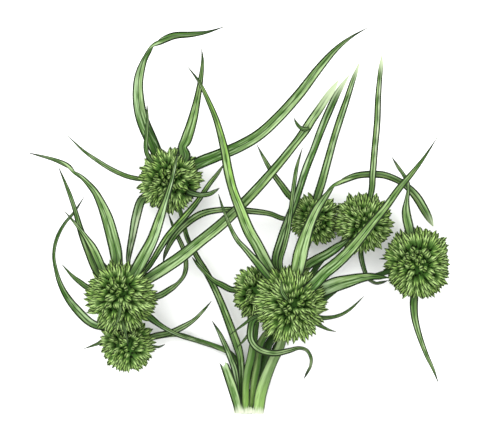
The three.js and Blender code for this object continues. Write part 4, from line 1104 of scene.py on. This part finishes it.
HEADS = {
    "head_centre_front": dict(
        centre=(10.0, -16.6, 13.0), radii=(7.5, 8.2, 7.5), seed=11,
        inner_bracts=[
            [
                (12.8, -18.7, 12.4, 1.0), (14.6, -20.2, 12.0, 0.92), (16.2, -21.1, 11.4, 0.76),
                (17.7, -21.8, 10.8, 0.52), (19.2, -22.2, 10.4, 0.1),
            ],
            [
                (10.0, -16.3, 17.0, 0.88), (9.1, -15.3, 20.6, 0.88), (8.3, -13.9, 21.2, 0.8),
                (8.3, -11.7, 20.4, 0.1),
            ],
        ],
    ),
    "head_left": dict(
        centre=(-23.8, -15.3, 10.0), radii=(7.3, 7.6, 7.3), seed=23,
        inner_bracts=[
            [
                (-23.8, -15.9, 14.0, 0.68), (-23.9, -17.7, 17.2, 0.68), (-24.3, -19.7, 16.8, 0.6),
                (-25.3, -21.5, 15.8, 0.1),
            ],
            [
                (-23.5, -18.7, 12.6, 0.64), (-23.3, -20.7, 14.6, 0.6), (-22.7, -22.9, 13.6, 0.48),
                (-22.3, -25.1, 12.4, 0.1),
            ],
        ],
    ),
    "head_mid_right": dict(
        centre=(24.6, -0.5, 5.8), radii=(6.2, 6.3, 6.2), seed=37, inner_bracts=[],
    ),
    "head_right": dict(
        centre=(35.6, -8.5, 6.5), radii=(7.2, 7.6, 7.2), seed=41,
        inner_bracts=[
            [
                (32.8, -8.1, 6.3, 0.8), (31.0, -7.7, 6.1, 0.76), (29.6, -7.6, 6.0, 0.6),
                (27.8, -7.7, 5.8, 0.1),
            ],
        ],
    ),
    "head_upper_left": dict(
        centre=(-14.0, 8.0, 6.3), radii=(6.8, 6.8, 6.8), seed=53, inner_bracts=[],
    ),
    "head_middle": dict(
        centre=(15.2, 0.3, 5.0), radii=(5.4, 5.5, 5.4), seed=67, inner_bracts=[],
    ),
    "head_centre_back": dict(
        centre=(4.4, -14.5, 5.8), radii=(6.2, 6.2, 6.2), seed=71,
        inner_bracts=[
            [
                (3.8, -17.7, 6.6, 1.0), (3.0, -20.1, 7.0, 0.84), (1.7, -22.7, 7.0, 0.64),
                (0.5, -24.3, 6.8, 0.48), (-0.6, -25.4, 6.6, 0.1),
            ],
        ],
    ),
    "head_lower_left": dict(
        centre=(-22.5, -24.7, 5.3), radii=(5.7, 5.8, 5.7), seed=83,
        inner_bracts=[
            [
                (-24.8, -24.5, 5.2, 0.8), (-27.2, -24.2, 5.0, 0.8), (-28.8, -24.8, 4.8, 0.64),
                (-31.3, -25.7, 4.4, 0.1),
            ],
            [
                (-19.6, -25.0, 4.8, 0.68), (-17.6, -25.2, 4.5, 0.6), (-16.2, -25.3, 4.3, 0.48),
                (-15.0, -24.8, 4.2, 0.1),
            ],
        ],
    ),
}
INNER_BRACT_COLOURS = dict(left=("fresh", "light"), right=("leaf", "fresh"), root="green")


def spikelet_radius(z):
    """Half the width of a spikelet at a share of its length: widest past the middle, then a point."""
    swelling = math.sin(math.pi / 2 * min(max(z, 0.0) / SPIKELET_BROADEST, 1.0))
    pointing = max(z - SPIKELET_TAPERS_FROM, 0.0) / (1 - SPIKELET_TAPERS_FROM)
    fullness = SPIKELET_FOOT + (1 - SPIKELET_FOOT) * swelling
    return SPIKELET_HALF_WIDTH * fullness * max(1 - pointing**SPIKELET_TAPER, 0.0)


def spikelet_mesh():
    """One spikelet along +Z, from just below its root to its tip: a spindle wrapped in keeled scales."""
    points, faces, places = [], [], []

    def add_point(z, angle, radius, place):
        x, y = math.cos(angle) * radius, math.sin(angle) * radius * SPIKELET_FLATNESS
        points.append((x * MM, y * MM, z * SPIKELET_LENGTH * MM))
        places.append(place)

    def add_grid(rows, columns, first, closed=False):
        for row in range(rows - 1):
            for column in range(columns if closed else columns - 1):
                a, b = first + row * columns + column, first + row * columns + (column + 1) % columns
                faces.append((a, b, b + columns, a + columns))

    for z in SPINDLE_RINGS:
        for side in range(SPINDLE_SIDES):
            angle = side * 2 * math.pi / SPINDLE_SIDES
            add_point(z, angle, spikelet_radius(z) * SPINDLE_SHARE, (SPINDLE_PLACE, max(z, 0.0)))
    add_grid(len(SPINDLE_RINGS), SPINDLE_SIDES, 0, closed=True)
    for j, (foot, tip) in enumerate(SCALES):
        first = len(points)
        for v in SCALE_ROWS:
            z = foot + (tip - foot) * v
            for u in SCALE_ACROSS:
                angle = SCALE_TURN * j + u * SCALE_WRAP * (1 - v**SCALE_BLUNTNESS)
                radius = spikelet_radius(z) * (SCALE_KEEL - SCALE_KEEL_DROP * abs(u))
                add_point(z, angle, radius + SCALE_TIP_LIFT * v**2, (u, z))
        add_grid(len(SCALE_ROWS), len(SCALE_ACROSS), first)
    mesh = bpy.data.meshes.new("spikelet")
    mesh.from_pydata(points, [], faces)
    layer = mesh.uv_layers.new(name="scale")
    for loop in mesh.loops:
        layer.data[loop.index].uv = places[loop.vertex_index]
    mesh.shade_smooth()
    return mesh


def spikelet_bearings(directions, seed):
    """Where the spikelets of a head point that stand in these directions from its centre."""
    axis = np.array([HEAD_AXIS_LEAN * math.cos(seed), HEAD_AXIS_LEAN * math.sin(seed), 1.0])
    axis /= np.linalg.norm(axis)
    along = directions @ axis
    outward = directions - along[:, None] * axis
    outward /= np.maximum(np.linalg.norm(outward, axis=1, keepdims=True), 1e-6)
    angle = np.arccos(np.clip(along, -1, 1))
    angle += HEAD_SPREAD * np.sin(angle) * np.sin(2 * angle)
    bearing = axis * np.cos(angle)[:, None] + outward * np.sin(angle)[:, None]
    draw = np.random.default_rng(seed)
    waves = draw.normal(0, TUFTS_ROUND_HEAD, (3, 3))
    bearing += TUFT_WANDER * np.sin(directions @ waves + draw.uniform(0, 2 * math.pi, 3))
    return bearing / np.linalg.norm(bearing, axis=1, keepdims=True)


def room_for_spikelets(centre, radii, directions, bearing, finished):
    """For each direction out of a head: a foot on its middle, and a spikelet's length and consent."""
    feet = directions * (CORE_SHARE / np.linalg.norm(directions / radii, axis=1))[:, None]
    steep = ((bearing / radii) ** 2).sum(1)
    half = (feet * bearing / radii**2).sum(1)
    short = SPIKELET_REACH**2 - ((feet / radii) ** 2).sum(1)
    full = (np.sqrt(half**2 + steep * short) - half) / steep
    low, high = np.array(cad_box) / MM - centre
    walls = (np.where(bearing > 0, high, low) - feet) / np.where(bearing == 0, 1e-9, bearing)
    room = np.minimum(full, walls.min(1) - SPIKELET_WALL_GAP)
    for points in passing:
        near = points[np.linalg.norm(points - centre, axis=1) < max(radii) + SPIKELET_NEARBY] - centre
        if not len(near):
            continue
        offset = near[:, None] - feet[None]
        ahead = (offset * bearing).sum(2)
        aside = np.sqrt(np.maximum((offset**2).sum(2) - ahead**2, 0))
        in_way = (aside < SPIKELET_CLEARANCE) & (ahead > -SPIKELET_LOOKS_BACK)
        room = np.minimum(room, np.where(in_way, ahead - SPIKELET_STOPS_BEFORE, math.inf).min(0))
    for other_centre, other_radius in finished:
        offset = other_centre - centre - feet
        ahead = (offset * bearing).sum(1)
        inside = ahead**2 - (offset**2).sum(1) + other_radius**2
        meets = (inside > 0) & (ahead > 0)
        room = np.minimum(room, np.where(meets, ahead - np.sqrt(np.maximum(inside, 0)), math.inf))
    return feet, room, room > SPIKELET_LEAST_ROOM * full


def spikelet_group():
    """Geometry nodes that set spikelets all over a head's middle, each at its own lean and length."""
    group = bpy.data.node_groups.new("spikelets", "GeometryNodeTree")
    sockets = {}
    for label, kind in (
        ("Middle", "Geometry"), ("Spikelet", "Object"), ("Spacing", "Float"), ("Girth", "Float"),
        ("Scatter", "Float"), ("Seed", "Int"), ("Scales", "Material"), ("Head", "Geometry"),
    ):
        way = "OUTPUT" if label == "Head" else "INPUT"
        socket = group.interface.new_socket(label, in_out=way, socket_type=f"NodeSocket{kind}")
        sockets[label] = socket.identifier
    nodes = Nodes(group)
    given = group.nodes.new("NodeGroupInput").outputs

    def found(name, kind="FLOAT"):
        """What the head's middle says at a spikelet's foot."""
        return nodes.add("GeometryNodeInputNamedAttribute", {"Name": name}, data_type=kind)

    def drawn(low, high, seed):
        """A number between two others for each spikelet, by chance."""
        return nodes.add("FunctionNodeRandomValue", {2: low, 3: high, "Seed": seed}, 1, data_type="FLOAT")

    feet = nodes.add(
        "GeometryNodeDistributePointsOnFaces",
        {
            "Mesh": given["Middle"], "Distance Min": given["Spacing"], "Seed": given["Seed"],
            "Density Max": SPIKELET_DENSITY, "Density Factor": found("open"),
        },
        distribute_method="POISSON",
    )
    limits = {0: (-1, -1, -1), 1: (1, 1, 1), "Seed": 11}
    stray = nodes.add("FunctionNodeRandomValue", limits, data_type="FLOAT_VECTOR")
    stray = nodes.add("ShaderNodeVectorMath", {0: stray, "Scale": given["Scatter"]}, operation="SCALE")
    bearing = found("bearing", "FLOAT_VECTOR")
    way = nodes.add("ShaderNodeVectorMath", {0: bearing, 1: stray}, operation="ADD")
    turn = nodes.add("FunctionNodeAlignRotationToVector", {"Vector": way}, axis="Z")
    keel_up = {"Rotation": turn, "Vector": (0, 0, 1)}
    turn = nodes.add("FunctionNodeAlignRotationToVector", keel_up, axis="Y", pivot_axis="Z")
    roll = nodes.add("ShaderNodeCombineXYZ", {"Z": drawn(*SPIKELET_ROLL, seed=5)})
    turn = nodes.add("FunctionNodeRotateRotation", {0: turn, 1: roll}, rotation_space="LOCAL")
    length = nodes.math("MULTIPLY", found("room"), drawn(*SPIKELET_GROWTH, seed=7))
    length = nodes.math("DIVIDE", length, SPIKELET_LENGTH * MM)
    girth = nodes.math("MULTIPLY", given["Girth"], drawn(*SPIKELET_VIGOUR, seed=8))
    size = nodes.add("ShaderNodeCombineXYZ", {0: girth, 1: girth, 2: length})
    shape = nodes.add("GeometryNodeObjectInfo", {"Object": given["Spikelet"]}, "Geometry")
    stand = {"Points": feet, "Instance": shape, "Rotation": turn, "Scale": size}
    placed = nodes.add("GeometryNodeInstanceOnPoints", stand)
    tint = {"Geometry": placed, "Name": "tint", "Value": drawn(0.0, 1.0, seed=9)}
    tinted = nodes.add("GeometryNodeStoreNamedAttribute", tint, data_type="FLOAT", domain="INSTANCE")
    real = nodes.add("GeometryNodeRealizeInstances", {"Geometry": tinted})
    dressed = nodes.add("GeometryNodeSetMaterial", {"Geometry": real, "Material": given["Scales"]})
    joined = group.nodes.new("GeometryNodeJoinGeometry")
    for part in (given["Middle"], dressed):
        group.links.new(part, joined.inputs[0])
    group.links.new(joined.outputs[0], group.nodes.new("NodeGroupOutput").inputs["Head"])
    return group, sockets


def scale_colours(nodes):
    """A spikelet's scales: lighter towards the tip, with painted shade as deep green at the foot, the keel
    between dark bands.
    """
    place, across, along = nodes.place_on("scale")
    across = nodes.math("ABSOLUTE", across)
    spot = nodes.spot()
    tint = nodes.rise(nodes.add("ShaderNodeAttribute", output="Fac", attribute_name="tint"), SCALE_TINTS)
    mottle = nodes.noise(spot, SCALE_MOTTLE_SCALE)
    streaks = nodes.add("ShaderNodeMapping", {"Vector": place, "Scale": SCALE_STREAKS})
    streaks = nodes.add("ShaderNodeVectorMath", {0: streaks, 1: spot}, operation="ADD")
    streaks = nodes.noise(streaks, SCALE_STREAK_SCALE)
    body, tip = (nodes.mix(tint, linear(green), linear("glowing")) for green in ("scale", "spikelet_tip"))
    dark = nodes.math(
        "MAXIMUM", nodes.rise(mottle, SCALE_MOTTLES), nodes.rise(streaks, SCALE_DARK_STREAKS)
    )
    colour = nodes.coats(
        nodes.mix(nodes.rise(along, SCALE_LIGHTER_TO_TIP), body, tip),
        ("rich", 0.55, dark),
        # Painted shade: deep green at the foot, where the spikelets crowd.
        ("rich", 0.9, nodes.fall(along, SCALE_SHADED_FOOT)),
        ("green", 0.4, nodes.rise(across, SCALE_RIM)),
        ("line", 0.94, nodes.fall(across, SCALE_BAND)),
        ("scale", 0.85, nodes.fall(across, SCALE_KEEL_LINE)),
    )
    return colour, mottle


def core_colours(nodes):
    """The head's middle, deep green between the spikelets' feet."""
    mottle = nodes.noise(nodes.spot(), CORE_MOTTLE_SCALE)
    return nodes.mix(mottle, linear("deep"), linear("rich")), mottle


spikelet = bpy.data.objects.new("spikelet", spikelet_mesh())
group, sockets = spikelet_group()
core_material = tissue("head_core", core_colours, roughness=0.8, relief_mm=0.05)
scale_material = tissue("spikelet_scales", scale_colours, roughness=0.55, relief_mm=0.04)
finished = []
for name, head in HEADS.items():
    centre, radii = np.array(head["centre"]), np.array(head["radii"])
    bpy.ops.mesh.primitive_ico_sphere_add(subdivisions=CORE_FINENESS, radius=1.0)
    piece = bpy.context.object
    piece.name = f"{name}_spikelets"
    directions = np.array([v.co.normalized() for v in piece.data.vertices])
    bearing = spikelet_bearings(directions, head["seed"])
    feet, room, is_open = room_for_spikelets(centre, radii, directions, bearing, finished)
    piece.data.vertices.foreach_set("co", ((centre + feet) * MM).ravel())
    for label, kind, key, values in (
        ("bearing", "FLOAT_VECTOR", "vector", bearing.ravel()),
        ("room", "FLOAT", "value", np.maximum(room, SPIKELET_LEAST_MM) * MM),
        ("open", "FLOAT", "value", is_open.astype(float)),
    ):
        piece.data.attributes.new(label, kind, "POINT").data.foreach_set(key, values)
    piece.data.shade_smooth()
    piece.data.materials.append(core_material)
    breadth = float(radii.mean()) / SPIKELET_FULL_SIZE_AT
    fineness = min(1.0, SPIKELET_LEAST_SIZE + (1 - SPIKELET_LEAST_SIZE) * breadth)
    modifier = piece.modifiers.new("spikelets", "NODES")
    modifier.node_group = group
    for label, value in {
        "Spikelet": spikelet,
        "Spacing": SPIKELET_SPACING * fineness,
        "Girth": fineness,
        "Scatter": SPIKELET_SCATTER,
        "Seed": head["seed"],
        "Scales": scale_material,
    }.items():
        modifier[sockets[label]] = value
    evaluated = piece.evaluated_get(bpy.context.evaluated_depsgraph_get())
    grown = bpy.data.meshes.new_from_object(evaluated)
    # What would stand below the surface lies flat on it.
    corners = np.empty(len(grown.vertices) * 3)
    grown.vertices.foreach_get("co", corners)
    corners[2::3] = np.maximum(corners[2::3], 0.0)
    grown.vertices.foreach_set("co", corners)
    piece.modifiers.clear()
    piece.data = grown
    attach(piece, "root")
    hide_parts(name)
    finished.append((centre, float(radii.mean()) * NEIGHBOUR_SHARE))
    for number, path in enumerate(head["inner_bracts"], 1):
        inner_name = f"{name}_inner_bract_{number}"
        add_blade(inner_name, path, slot="head", replaces_node=False, **INNER_BRACT_COLOURS)
bpy.data.objects.remove(spikelet)


# The surface under the tuft is a plain pale floor. Soft light comes from a wide panel at the upper
# left and from pale surroundings; the camera looks straight down from far off, as the picture does.

FLOOR_SIZE = 8.0
FLOOR_FINISH = {"Base Color": (0.96, 0.96, 0.96, 1.0), "Roughness": 0.9, "Specular IOR Level": 0.1}
SURROUNDINGS = {"Color": (1.0, 1.0, 1.0, 1.0), "Strength": 2.0}
PANEL_SIZE = 0.9
PANEL_WATTS = 9.5
PANEL_PLACE = (-0.55, 0.55, 1.1)
PANEL_TILT = (math.radians(-35), math.radians(-27), 0)
VIEW_WIDTH = 0.096
LENS = 800.0
SENSOR = 36.0
CLIPPING = (0.5, 10.0)
MIDDLE_HEIGHT = 0.007

bpy.ops.mesh.primitive_plane_add(size=FLOOR_SIZE)
floor = bpy.context.object
floor.name = "floor"
floor_material = bpy.data.materials.new("floor")
floor_material.use_nodes = True
for label, value in FLOOR_FINISH.items():
    floor_material.node_tree.nodes["Principled BSDF"].inputs[label].default_value = value
floor.data.materials.append(floor_material)

world = bpy.data.worlds.new("surroundings")
bpy.context.scene.world = world
world.use_nodes = True
for label, value in SURROUNDINGS.items():
    world.node_tree.nodes["Background"].inputs[label].default_value = value

panel = bpy.data.lights.new("panel", "AREA")
panel.shape = "DISK"
panel.size = PANEL_SIZE
panel.energy = PANEL_WATTS
lamp = bpy.data.objects.new("panel", panel)
lamp.location = PANEL_PLACE
lamp.rotation_euler = PANEL_TILT
bpy.context.scene.collection.objects.link(lamp)

lens = bpy.data.cameras.new("camera")
lens.lens = LENS
lens.sensor_width = SENSOR
lens.clip_start, lens.clip_end = CLIPPING
camera = bpy.data.objects.new("camera", lens)
camera.location = (0.0, 0.0, MIDDLE_HEIGHT + VIEW_WIDTH * LENS / SENSOR)
bpy.context.scene.collection.objects.link(camera)
bpy.context.scene.camera = camera
bpy.context.scene.view_settings.view_transform = "Standard"
